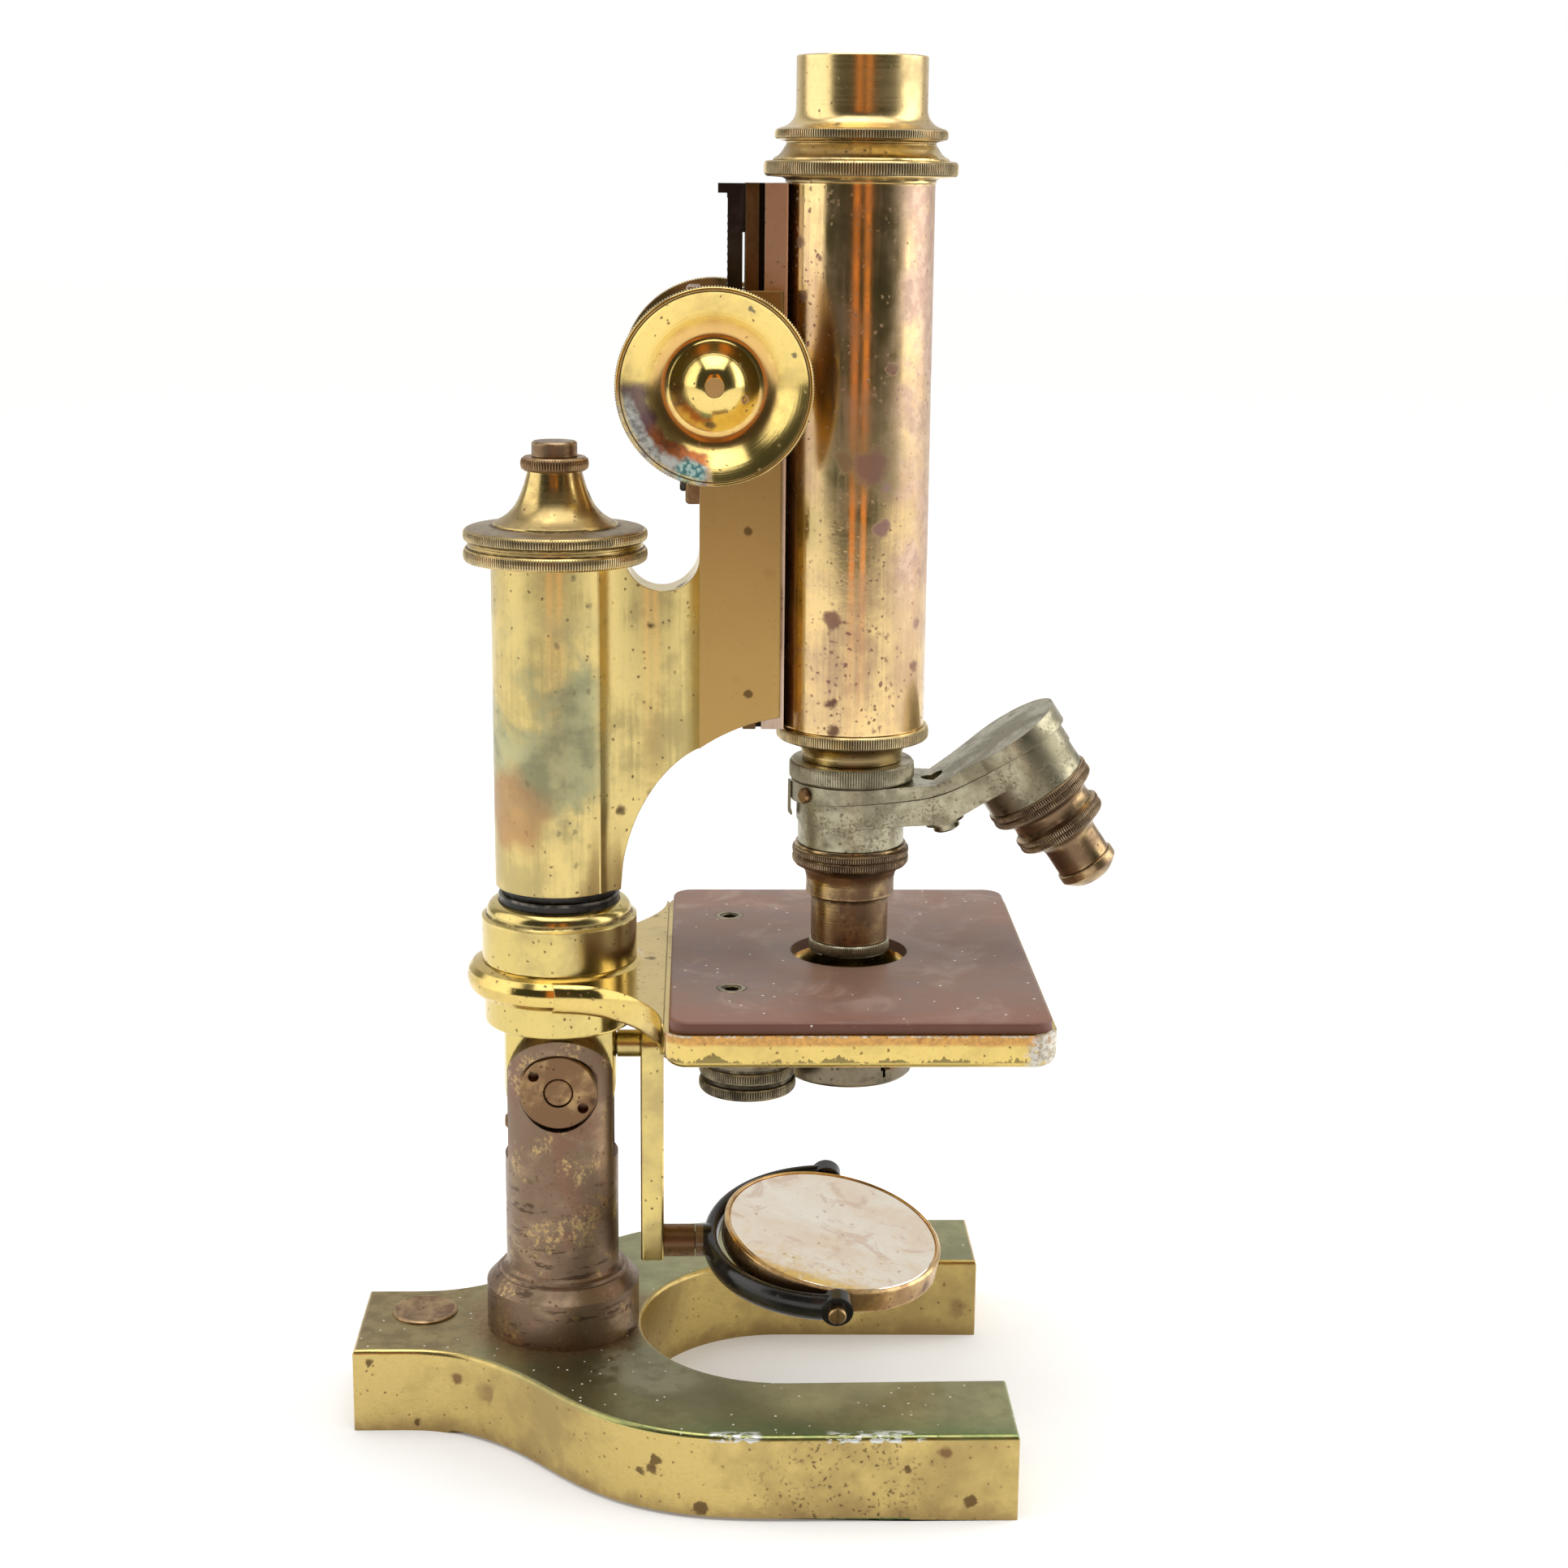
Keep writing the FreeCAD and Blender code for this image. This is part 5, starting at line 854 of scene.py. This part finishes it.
def knurl(name, low, high, rim, teeth, depth, crown, material, polar):
    """A closed band of straight teeth with a crowned rim."""
    columns = [(2 * math.pi * (tooth + share) / teeth, height)
               for tooth in range(teeth) for share, height in TOOTH]
    verts, edges, locs = [], [], []

    def add(radius, angle, z, edge):
        verts.append(polar(radius, angle, z))
        edges.append(edge)
        locs.append((radius, z, 0.0))

    for row in range(KNURL_ROWS):
        across = -1 + 2 * row / (KNURL_ROWS - 1)
        across = math.copysign(abs(across) ** 0.7, across)
        z = (low + high) / 2 + across * (high - low) / 2
        drop = crown * (1 - math.sqrt(max(0.0, 1 - across * across)))
        full = 0 < row < KNURL_ROWS - 1
        for angle, height in columns:
            height = height if full else 0.0
            # crests get edge 1 and roots -0.6, so crests take the light edge tint and roots the
            # dark hollow tint: partly wear and dirt, partly a painted highlight and painted shade
            add(rim - drop - depth * (1 - height), angle, z, 1.0 if height else -0.6)
    for z in (high, low):
        for angle, _ in columns:
            add(rim - depth - crown - 0.7, angle, z, -0.6)
    faces = []
    count = len(columns)
    for row in range(KNURL_ROWS + 2):
        here, above = row * count, (row + 1) % (KNURL_ROWS + 2) * count
        for i in range(count):
            k = (i + 1) % count
            faces.append((here + i, here + k, above + k, above + i))
    return new_object(name, verts, faces, material, edge=edges, loc=locs, smooth=False)


def replace_turned(node, *args, **options):
    """A turned piece in place of a CAD node."""
    stands_for(turned(*args, **options), node)


# ------------------------------------------------------------------ horseshoe foot

(REAR, _, _), (FRONT, HALF_WIDTH, TOP) = box_mm("base")   # REAR is the left end, in x
TAIL = 16.3                # half width of the tail
OPENING_X = -14.1          # centre of the round end of the opening
OPENING_RADIUS = 32.5
OPENING_MOUTH = 31.8       # half width of the opening at the right end
UPRIGHT_RADIUS = 0.45      # rounding of the upright corners
EDGE_RADIUS = 1.25         # rounding of the upper edge
# (x, y) along the far flank, from the tail to the full width
FLANK = [(-100.0, TAIL), (-94.0, 16.7), (-88.5, 18.2), (-84.0, 20.3), (-79.5, 23.2),
         (-75.0, 26.9), (-71.0, 30.8), (-67.0, 35.2), (-63.0, 39.6), (-59.0, 43.6),
         (-55.0, 47.0), (-50.5, 50.2), (-45.0, 53.1), (-39.0, 55.4), (-32.5, 57.0),
         (-25.5, 57.9), (-18.0, HALF_WIDTH)]
FLANK_STEPS = 7


def smooth_flank():
    """A Catmull-Rom curve through FLANK."""
    points = [Vector((FLANK[0][0] - 6.0, FLANK[0][1]))] + [Vector(point) for point in FLANK]
    points.append(Vector((FLANK[-1][0] + 7.0, HALF_WIDTH)))
    curve = []
    for p0, p1, p2, p3 in zip(points, points[1:], points[2:], points[3:]):
        for step in range(FLANK_STEPS):
            t = step / FLANK_STEPS
            point = 0.5 * ((2 * p1) + (p2 - p0) * t + (2 * p0 - 5 * p1 + 4 * p2 - p3) * t * t
                           + (3 * p1 - p0 - 3 * p2 + p3) * t ** 3)
            curve.append((point.x, point.y))
    curve.append(tuple(points[-2]))
    return curve


def foot_outline():
    """Closed outline, anticlockwise: (point, normal, mitre), mitre only at rounded corners."""
    far = [(REAR, TAIL), (REAR + 5.0, TAIL)] + smooth_flank()
    far += [(x, HALF_WIDTH) for x in (-10.0, 0.0, 11.4, 11.6, 22.0, FRONT)]
    far += [(FRONT, 45.0), (FRONT, OPENING_MOUTH), (10.0, 32.15), (OPENING_X, OPENING_RADIUS)]
    arc = [(OPENING_X + OPENING_RADIUS * math.cos(math.radians(angle)),
            OPENING_RADIUS * math.sin(math.radians(angle))) for angle in range(267, 92, -3)]
    points = [(x, -y) for x, y in far] + arc + far[::-1] + [(REAR, 6.0), (REAR, -6.0)]
    corners = ((REAR, TAIL), (FRONT, HALF_WIDTH), (FRONT, OPENING_MOUTH))
    outline = []
    for i, (x, y) in enumerate(points):
        before, point, after = (Vector(points[k % len(points)]) for k in (i - 1, i, i + 1))
        into, onward = (point - before).normalized(), (after - point).normalized()
        normal_in, normal_on = Vector((into.y, -into.x)), Vector((onward.y, -onward.x))
        if (x, abs(y)) not in corners:
            outline.append((point, (normal_in + normal_on).normalized(), None))
            continue
        mitre = (normal_in + normal_on) / (1.0 + normal_in.dot(normal_on))
        centre = point - mitre * UPRIGHT_RADIUS
        turn = turn_between(into, onward)
        for step in range(5):
            outline.append((centre, rotated(normal_in, turn * step / 4), mitre))
    return outline


def inset_point(point, normal, mitre, inset):
    if mitre is None:
        return point - normal * inset
    if inset < UPRIGHT_RADIUS:
        return point + normal * (UPRIGHT_RADIUS - inset)
    return point - mitre * (inset - UPRIGHT_RADIUS)


def is_relieved(x, y):
    """Where the underside is lifted off the floor."""
    return abs(y) > 15.0 and -89.4 < x < 11.5 and (x < -52.0 or abs(y) > 38.0)


def foot():
    outline = foot_outline()
    # (height, degrees round the upper edge)
    rings = [(0.0, 0), (9.0, 0)]
    for angle in range(0, 91, 15):
        rise = EDGE_RADIUS * math.sin(math.radians(angle))
        rings.append((TOP - EDGE_RADIUS + rise, angle))
    verts, normals, edges, rows = [], [], [], []
    for height, angle in rings:
        cos, sin = math.cos(math.radians(angle)), math.sin(math.radians(angle))
        first = len(verts)
        for point, normal, mitre in outline:
            x, y = inset_point(point, normal, mitre, EDGE_RADIUS * (1 - cos))
            z = 0.8 if height == 0.0 and is_relieved(x, y) else height
            verts.append((x * MM, y * MM, z * MM))
            normals.append((normal.x * cos, normal.y * cos, sin))
            # the middle of the rounded upper edge gets edge 0.55 for a lighter tint: partly wear,
            # partly a painted highlight along the bevel
            edges.append(0.55 if 20 < angle < 70 else 0.0)
        rows.append(list(range(first, len(verts))))
    # the underside has points of its own, with normals facing down
    under = list(range(len(verts), len(verts) + len(outline)))
    verts += verts[:len(outline)]
    normals += [(0, 0, -1)] * len(outline)
    edges += [0.0] * len(outline)
    faces = []
    for row, above in zip(rows, rows[1:]):
        for i in range(len(outline)):
            k = (i + 1) % len(outline)
            faces.append((row[i], row[k], above[k], above[i]))
    for row, faces_up in ((rows[-1], True), (under, False)):
        flat = {j: Vector(verts[j][:2]) for j in row}
        # leave out points that coincide
        ring = [j for i, j in enumerate(row) if (flat[j] - flat[row[i - 1]]).length > 2e-5]
        for triangle in tessellate_polygon([[Vector((*verts[j][:2], 0.0)) for j in ring]]):
            face = [ring[k] for k in triangle]
            p, q, r = (flat[j] for j in face)
            is_up = (q - p).x * (r - p).y - (q - p).y * (r - p).x > 0
            faces.append(tuple(face if is_up == faces_up else face[::-1]))
    return new_object("horseshoe_foot", verts, faces, foot_brass, normals, edges)


stands_for([foot()], "base")

# ------------------------------------------------------------------ column, from the foot up


def coil():
    """The spring round the guide: an eight-sided wire along a helix."""
    pitch, height, radius, wire_radius, bottom = 5.5, 44.6, 9.3, 0.6, 140.7
    sides = 8
    rings = int(height / pitch * 40)
    verts, normals, faces = [], [], []
    for i in range(rings + 1):
        angle = 2 * math.pi * (i / rings) * height / pitch
        outward = Vector((math.cos(angle), math.sin(angle), 0))
        centre = Vector((COLUMN_X, 0, bottom + (i / rings) * height))
        for k in range(sides):
            round_wire = 2 * math.pi * k / sides
            normal = outward * math.cos(round_wire) + Vector((0, 0, math.sin(round_wire)))
            verts.append((outward * radius + normal * wire_radius + centre) * MM)
            normals.append(normal)
            if i:
                here, beside = (i - 1) * sides + k, (i - 1) * sides + (k + 1) % sides
                faces.append([here, here + sides, beside + sides, beside])
    faces.append(list(range(sides)))
    faces.append(list(range(rings * sides + sides - 1, rings * sides - 1, -1)))
    locs = [(radius, vert.z / MM, 0.0) for vert in verts]
    return new_object("guide_spring", verts, faces, black, normals, [0.0] * len(verts), locs)


spring = coil()
stands_for([spring], "focus_spring")
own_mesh(spring)

# All profiles below are closed (radius, z) outlines.
replace_turned("base_plug", "plug_disc", [
    (0, 16.6), (7.6, 16.6), (7.6, 19.9), (7.2, 20.2), (4.0, 20.1), (0, 20.1)],
    bronze, (-97.0, 4.6, 0), rounding=0.25)
replace_turned("limb_collar", "collar", [
    (10.05, 107.35), (17.2, 107.35), (17.2, 117.2), (16.5, 117.5), (16.1, 117.9),
    (16.05, 118.4), (16.0, 118.9), (15.75, 119.5), (15.3, 120.05), (14.7, 120.45),
    (13.9, 120.68), (13.45, 120.7), (13.45, 117.55), (10.05, 117.55)], bright, COLUMN)
replace_turned("guide_pillar", "neck", [
    (4.05, 117.6), (13.4, 117.6), (13.4, 122.3), (13.1, 122.6), (12.4, 122.6), (12.4, 140.0),
    (7.0, 140.0), (7.0, 176.0), (2.55, 176.0), (2.55, 161.0), (0, 161.0), (0, 131.0),
    (4.05, 131.0)], black, COLUMN)

# ------------------------------------------------------------------ stage and tail fittings

bushes = []
for side, y in (("near", -27.8), ("far", 27.8)):
    bushes += turned(f"clip_bush_{side}", [
        (1.6, 100.0), (3.2, 100.0), (3.2, 108.45), (3.0, 108.6), (2.2, 108.6), (2.0, 108.4),
        (1.6, 108.4)], dark_bronze, (-26.5, y, 0), segments=64)
stands_for(bushes, "stage_clip_bushes")
replace_turned("iris_pivot_screw", "iris_screw", [
    (0, 80.4), (5.6, 80.4), (6.4, 80.8), (6.8, 81.5), (8.8, 81.6), (10.2, 81.8), (10.7, 82.2),
    (10.7, 84.2), (10.0, 84.5), (10.0, 85.2), (10.7, 85.5), (10.7, 87.8), (10.2, 88.1),
    (10.2, 90.0), (9.6, 90.9), (8.6, 91.6), (7.8, 93.0), (7.4, 94.9), (4.0, 94.9),
    (4.0, 105.5), (0, 105.5)], dark_bronze, (-22.8, -15.0, 0),
    bands=[(81.9, 84.3, 10.7, 120, 0.2, 0.5), (85.3, 88.0, 10.7, 120, 0.2, 0.5)])
replace_turned("tail_pivot_pin", "pivot_pin", [
    (0, -6.0), (2.5, -6.0), (2.5, 0.75), (3.1, 0.75), (3.1, 5.95), (2.4, 5.95), (2.4, 11.3),
    (3.4, 11.3), (3.4, 12.4), (2.9, 12.9), (0, 12.9)],
    bright, (COLUMN_X + 12.0, 0, 86.6), (1, 0, 0), segments=64)

# ------------------------------------------------------------------ fine focus, column top

HEAD_RADIUS = 19.85
replace_turned("column_collar", "lower_disc", [
    (2.6, 196.12), (18.6, 196.12), (19.4, 196.3), (HEAD_RADIUS, 196.8), (HEAD_RADIUS, 198.6),
    (19.4, 199.1), (18.9, 199.2), (18.9, 199.95), (2.6, 199.95)],
    head_brass, COLUMN, segments=224, knurl_material=knurled,
    bands=[(196.2, 199.15, HEAD_RADIUS, 210, 0.2, 0.7)])
replace_turned("fine_focus_head", "focus_head", [
    (2.5, 200.0), (18.9, 200.0), (18.9, 200.6), (19.4, 200.75), (HEAD_RADIUS, 201.1),
    (HEAD_RADIUS, 202.6), (19.4, 203.05), (18.9, 203.3), (16.6, 203.5), (14.4, 203.7),
    (13.6, 203.85), (13.4, 204.3), (12.6, 204.75), (11.4, 205.4), (10.3, 206.2), (9.4, 207.1),
    (8.6, 208.1), (8.0, 209.2), (7.5, 210.3), (7.0, 211.5), (6.6, 212.7), (6.25, 213.9),
    (6.0, 214.8), (5.9, 215.5), (2.5, 215.5)],
    head_brass, COLUMN, segments=224, knurl_material=knurled,
    bands=[(200.7, 203.15, HEAD_RADIUS, 210, 0.2, 0.6)])
replace_turned("fine_lock_ring", "lock_ring", [
    (2.5, 215.55), (6.6, 215.55), (7.35, 216.1), (7.35, 217.9), (6.6, 218.5), (2.5, 218.5)],
    bronze, COLUMN, segments=128, bands=[(215.6, 218.45, 7.35, 74, 0.24, 0.75)])
replace_turned("fine_cap", "top_cap", [
    (2.5, 218.55), (4.9, 218.55), (4.9, 221.4), (4.5, 221.8), (3.9, 221.75), (0, 221.7),
    (0, 220.3), (2.5, 220.3)], aged, COLUMN, segments=96)

# ------------------------------------------------------------------ coarse focus knobs

KNOB_RADIUS = 20.4
# z runs outwards from the knob's inner end: stem, bell, rim, dished face, dome
KNOB = [
    (1.95, 0.0), (6.0, 0.0), (6.1, 1.8), (6.4, 3.6), (7.2, 5.4), (8.6, 6.9), (10.6, 7.9),
    (13.0, 8.9), (15.4, 10.0), (17.6, 10.9), (19.2, 11.4), (KNOB_RADIUS, 11.8),
    (KNOB_RADIUS, 14.1), (20.0, 14.5), (19.5, 14.5), (19.35, 14.2), (19.15, 14.25),
    (18.2, 13.75), (17.2, 13.2), (16.2, 12.55), (15.2, 11.85), (14.3, 11.2), (13.4, 10.57),
    (12.6, 10.05), (11.8, 9.65), (11.0, 9.4), (10.3, 9.35), (9.7, 9.5), (9.1, 9.88),
    (8.5, 10.4), (7.8, 11.03), (7.2, 11.6), (6.4, 12.35), (5.6, 13.05), (4.8, 13.7),
    (4.0, 14.25), (3.2, 14.68), (2.5, 14.93), (1.95, 15.0)]


def knob(side, way, material):
    replace_turned(f"coarse_knob_{side}", f"{side}_knob", KNOB, material,
                   (PINION_X, way * KNOB_START, PINION_Z), (0, way, 0), segments=224,
                   knurl_material=knurled, rounding=0.1,
                   bands=[(11.85, 14.4, KNOB_RADIUS, 206, 0.16, 0.25)])


def grub_screw():
    """A small screw in the slope of the near knob's dome."""
    clock = math.radians(-22.0)   # direction on the face, from +X towards +Z
    tilt = math.radians(43)       # of the screw, away from the knob's axis
    outward = Vector((math.cos(clock), 0, math.sin(clock)))
    axis = (outward * math.sin(tilt) + Vector((0, -1, 0)) * math.cos(tilt)).normalized()
    place = Vector((PINION_X, -KNOB_START - 11.95, PINION_Z)) + outward * 6.75
    screw = turned("knob_grub_screw", [
        (0, -0.6), (1.0, -0.6), (1.0, 0.12), (0.85, 0.22), (0.42, 0.16), (0.38, -0.25),
        (0, -0.3)], bronze, place, axis, segments=48, rounding=0.05)[0]
    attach(screw, "pinion")


knob("near", -1, near_gold)
grub_screw()
knob("far", 1, far_gold)

# ------------------------------------------------------------------ tube and eyepiece

replace_turned("body_tube", "main_tube", [
    (14.4, 160.6), (15.6, 160.6), (15.6, 275.9), (14.4, 275.9)], tube_gold, segments=256)
replace_turned("tube_top_ring", "upper_ring", [
    (13.45, 262.0), (14.37, 262.0), (14.37, 275.95), (15.8, 275.95), (15.8, 276.6),
    (16.6, 277.0), (19.8, 277.2), (20.35, 277.7), (20.35, 279.9), (20.0, 280.3),
    (19.2, 280.42), (13.45, 280.42)], lacquer, segments=224, knurl_material=knurled,
    bands=[(277.4, 280.2, 20.35, 214, 0.2, 0.2)])
replace_turned("draw_tube", "inner_tube", [
    (11.7, 172.0), (13.4, 172.0), (13.4, 280.45), (18.6, 280.45), (18.3, 280.95),
    (17.5, 281.35), (16.9, 281.9), (16.45, 282.5), (16.1, 283.1), (15.8, 283.5),
    (15.7, 283.9), (11.7, 283.9)], lacquer, segments=224)
replace_turned("eyepiece_shell", "ocular", [
    (10.85, 236.0), (11.65, 236.0), (11.65, 283.95), (15.6, 283.95), (15.8, 284.3),
    (17.0, 284.6), (18.1, 284.9), (18.1, 286.6), (17.5, 286.9), (16.9, 287.05), (16.2, 287.3),
    (15.4, 287.7), (14.8, 288.2), (14.3, 288.8), (13.95, 289.5), (13.75, 290.3),
    (13.7, 291.2), (13.7, 301.35), (13.45, 301.6), (13.0, 301.6), (12.9, 301.4),
    (12.9, 299.2), (5.0, 299.2), (5.0, 297.5), (7.05, 297.5), (7.05, 294.5), (10.85, 294.5)],
    eyepiece_gold, segments=224, knurl_material=knurled,
    bands=[(284.8, 286.7, 18.1, 200, 0.2, 0.2)])

# ------------------------------------------------------------------ nosepiece and objectives

replace_turned("nose_adapter", "adapter", [
    (8.6, 146.6), (9.9, 146.6), (9.9, 152.75), (10.9, 152.8), (11.0, 153.4), (11.05, 154.2),
    (11.3, 155.0), (11.75, 155.8), (12.4, 156.5), (13.3, 157.0), (14.4, 157.3), (15.9, 157.5),
    (16.7, 157.9), (16.7, 160.2), (16.3, 160.55), (14.37, 160.58), (14.37, 166.0),
    (13.2, 166.0), (8.6, 160.0)], lacquer, segments=224, knurl_material=knurled,
    bands=[(157.7, 160.3, 16.7, 190, 0.2, 0.2)])
replace_turned("nose_ring", "nickel_ring", [
    (9.95, 148.35), (13.0, 148.35), (13.77, 148.7), (13.77, 152.2), (13.2, 152.7),
    (9.95, 152.7)], nickel, bands=[(148.5, 152.5, 13.77, 150, 0.2, 0.2)])
replace_turned("objective_low", "low_power", [
    (7.4, 138.6), (10.1, 138.6), (10.1, 133.9), (12.2, 133.9), (12.4, 133.3), (12.9, 133.0),
    (12.9, 131.6), (12.6, 131.35), (12.9, 131.1), (12.9, 129.7), (12.4, 129.2), (11.8, 129.0),
    (11.2, 128.65), (10.7, 128.2), (10.3, 127.65), (10.0, 126.9), (9.8, 126.0), (9.75, 125.0),
    (9.75, 122.5), (9.3, 122.1), (8.55, 121.9), (8.55, 111.9), (8.3, 111.8), (8.3, 109.5),
    (5.2, 109.5), (4.4, 110.6), (4.4, 112.4), (6.0, 112.4), (6.0, 116.4), (7.4, 116.4)],
    aged, knurl_material=objective_knurl,
    bands=[(131.45, 133.1, 12.9, 150, 0.18, 0.3), (129.5, 131.25, 12.9, 150, 0.18, 0.3)])
replace_turned("objective_low_ring", "low_power_ring", [
    (8.33, 109.1), (8.7, 109.1), (9.0, 109.4), (9.0, 111.4), (8.7, 111.75), (8.33, 111.75)],
    nickel, segments=128, bands=[(109.25, 111.6, 9.0, 118, 0.16, 0.2)])

# the second objective leans out to the right from a point on the tube's axis
LEAN = math.radians(34)
LEAN_AXIS = (-math.sin(LEAN), 0.0, math.cos(LEAN))
LEAN_POINT = (0, 0, 206.9)


def down(points):
    """(radius, depth below LEAN_POINT) as (radius, z)."""
    return [(radius, -depth) for radius, depth in points]


replace_turned("objective_high", "high_power", down([
    (6.0, 68.4), (10.1, 68.4), (10.1, 73.0), (11.8, 73.0), (12.25, 73.3), (12.25, 74.5),
    (11.95, 74.7), (12.25, 74.9), (12.25, 76.0), (11.8, 76.4), (11.2, 76.6), (10.6, 76.9),
    (10.1, 77.2), (9.7, 77.6), (9.4, 78.1), (9.25, 78.7), (9.25, 80.6), (9.8, 81.1),
    (10.4, 81.4), (10.4, 82.6), (10.15, 82.75), (10.4, 82.9), (10.4, 84.0), (9.9, 84.4),
    (9.0, 84.65), (8.2, 85.0), (7.5, 85.35), (7.0, 85.8), (6.6, 86.3), (6.4, 86.9),
    (6.3, 87.6), (6.3, 93.2), (3.4, 93.2), (3.4, 88.0), (6.0, 82.0)]),
    aged, LEAN_POINT, LEAN_AXIS, knurl_material=objective_knurl,
    bands=[(-74.6, -73.1, 12.25, 140, 0.18, 0.3), (-76.2, -74.75, 12.25, 140, 0.18, 0.3),
           (-82.7, -81.3, 10.4, 120, 0.16, 0.3), (-84.2, -82.8, 10.4, 120, 0.16, 0.3)])
replace_turned("objective_high_nose", "high_power_nose", down([
    (1.6, 93.25), (6.5, 93.25), (6.8, 93.5), (6.8, 95.2), (6.5, 95.6), (5.8, 96.3),
    (5.0, 97.0), (4.2, 97.5), (3.2, 97.7), (1.6, 97.7)]),
    aged, LEAN_POINT, LEAN_AXIS, segments=128)

# ------------------------------------------------------------------ mirror

MIRROR_PLACE = (-3, 0, 39)
MIRROR_AXIS = (Matrix.Rotation(math.radians(9.0), 3, "X")
               @ Matrix.Rotation(math.radians(9.2), 3, "Y")) @ Vector((0, 0, 1))
replace_turned("mirror_cell", "cell", [
    (0, -0.5), (24.2, -0.5), (24.2, -2.7), (24.6, -2.9), (25.2, -2.4), (25.2, 2.4),
    (24.6, 2.9), (24.2, 2.7), (24.2, 0.5), (0, 0.5)],
    cell_brass, MIRROR_PLACE, MIRROR_AXIS, segments=224, rounding=0.2)
replace_turned("mirror_flat_glass", "flat_glass", [
    (0, 0.52), (24.17, 0.52), (24.17, 2.3), (23.8, 2.6), (0, 2.6)],
    mirror, MIRROR_PLACE, MIRROR_AXIS, rounding=0.1)
replace_turned("mirror_concave_glass", "concave_glass", [
    (0, -1.4), (4, -1.42), (8, -1.5), (12, -1.65), (16, -1.9), (19, -2.15), (21, -2.3),
    (23.6, -2.6), (24.17, -2.6), (24.17, -0.52), (0, -0.52)],
    mirror, MIRROR_PLACE, MIRROR_AXIS, rounding=0.1)

# ------------------------------------------------------------------ light and floor (metres)

scene = bpy.context.scene


def overhead_light():
    light = bpy.data.lights.new("overhead", "AREA")
    light.shape = "RECTANGLE"
    light.size = 1.4
    light.size_y = 1.2
    light.energy = 9.0
    light.color = (0.975, 0.985, 1.0)
    lamp = bpy.data.objects.new("overhead", light)
    scene.collection.objects.link(lamp)
    lamp.location = (0.0, -0.25, 1.5)


def paper_material():
    surf = Surface("paper_floor")
    paper = surf.mix(surf.noise(0.002, 2.0), (0.90, 0.90, 0.90), (0.92, 0.92, 0.92))
    surf.set(Base_Color=paper, Roughness=0.9, Specular_IOR_Level=0.1,
             Emission_Color=(1, 1, 1, 1), Emission_Strength=0.16)
    return surf.material


overhead_light()
new_object("floor", [(-4, -1.15, 0), (4, -1.15, 0), (4, 6, 0), (-4, 6, 0)],
                    [(0, 1, 2, 3)], paper_material())

# ------------------------------------------------------------------ world

# Patches of light in degrees. Azimuth is 0 towards -Y and grows towards +X.
# (azimuth from, to, softness, elevation from, to, colour)
PATCHES = [
    (-13.0, -4.0, 1.2, -25.0, 30.0, (0.80, 0.30, 0.08)),
    (5.0, 13.0, 1.2, -25.0, 32.0, (0.95, 0.38, 0.10)),
    (-118.0, -60.0, 3.0, -4.0, 52.0, (1.75, 1.72, 1.65)),
    (70.0, 120.0, 3.0, -4.0, 52.0, (2.9, 2.9, 2.85))]
ELEVATION_SOFTNESS = 4.0


def between(value, low, high, soft):
    return value.ramp(low - soft, low + soft) * value.fade(high - soft, high + soft)


def studio_world():
    """White to the camera; reflections see a dark front with panels and a white back."""
    world = bpy.data.worlds.new("studio")
    scene.world = world
    graph = Graph(world)
    x, y, z = graph.separate(graph.out("ShaderNodeTexCoord", output="Generated"))
    azimuth = graph.calc("ARCTAN2", x, y * -1.0) * DEGREES
    elevation = graph.calc("ARCSINE", z) * DEGREES
    back = abs(azimuth).ramp(125.0, 150.0)
    colour = graph.mix(back, (0.055, 0.055, 0.045), (1.0, 1.0, 1.0))
    sides = abs(azimuth).ramp(50.0, 75.0) * 0.5
    colour = graph.mix(sides, colour, (0.55, 0.53, 0.50))
    colour = graph.mix(elevation.ramp(50.0, 75.0), colour, (1.4, 1.4, 1.4))
    for left, right, soft, low, high, light in PATCHES:
        patch = between(azimuth, left, right, soft)
        patch = patch * between(elevation, low, high, ELEVATION_SOFTNESS)
        colour = graph.mix(patch, colour, light)
    seen_by_camera = graph.out("ShaderNodeLightPath", output="Is Camera Ray")
    studio = graph.out("ShaderNodeBackground", {0: colour})
    white = graph.out("ShaderNodeBackground", {0: (1, 1, 1, 1)})
    both = graph.out("ShaderNodeMixShader", {0: seen_by_camera, 1: studio, 2: white})
    graph.node("ShaderNodeOutputWorld", {0: both})


studio_world()
scene.view_settings.view_transform = "Standard"
scene.view_settings.look = "None"
scene.view_settings.exposure = 0.0

# ------------------------------------------------------------------ camera (metres)

CAMERA_PLACE = Vector((-0.0329207, -0.5542197, 0.2772238))
AZIMUTH = math.radians(-1.86635)   # of the view, anticlockwise from +Y
PITCH = math.radians(13.2464)      # downwards
ROLL = math.radians(0.56526)


def add_camera():
    data = bpy.data.cameras.new("camera")
    data.sensor_width = 36.0
    data.lens = 59.2997516
    data.clip_start = 0.01
    data.clip_end = 50.0
    camera = bpy.data.objects.new("camera", data)
    scene.collection.objects.link(camera)
    forward = Vector((-math.sin(AZIMUTH) * math.cos(PITCH),
                      math.cos(AZIMUTH) * math.cos(PITCH), -math.sin(PITCH)))
    level = Vector((math.cos(AZIMUTH), math.sin(AZIMUTH), 0.0))
    upright = level.cross(forward)
    right = level * math.cos(ROLL) + upright * math.sin(ROLL)
    up = upright * math.cos(ROLL) - level * math.sin(ROLL)
    matrix = Matrix.Identity(4)
    for i in range(3):
        matrix[i][:3] = right[i], up[i], -forward[i]
    matrix.translation = CAMERA_PLACE
    camera.matrix_world = matrix
    scene.camera = camera


add_camera()
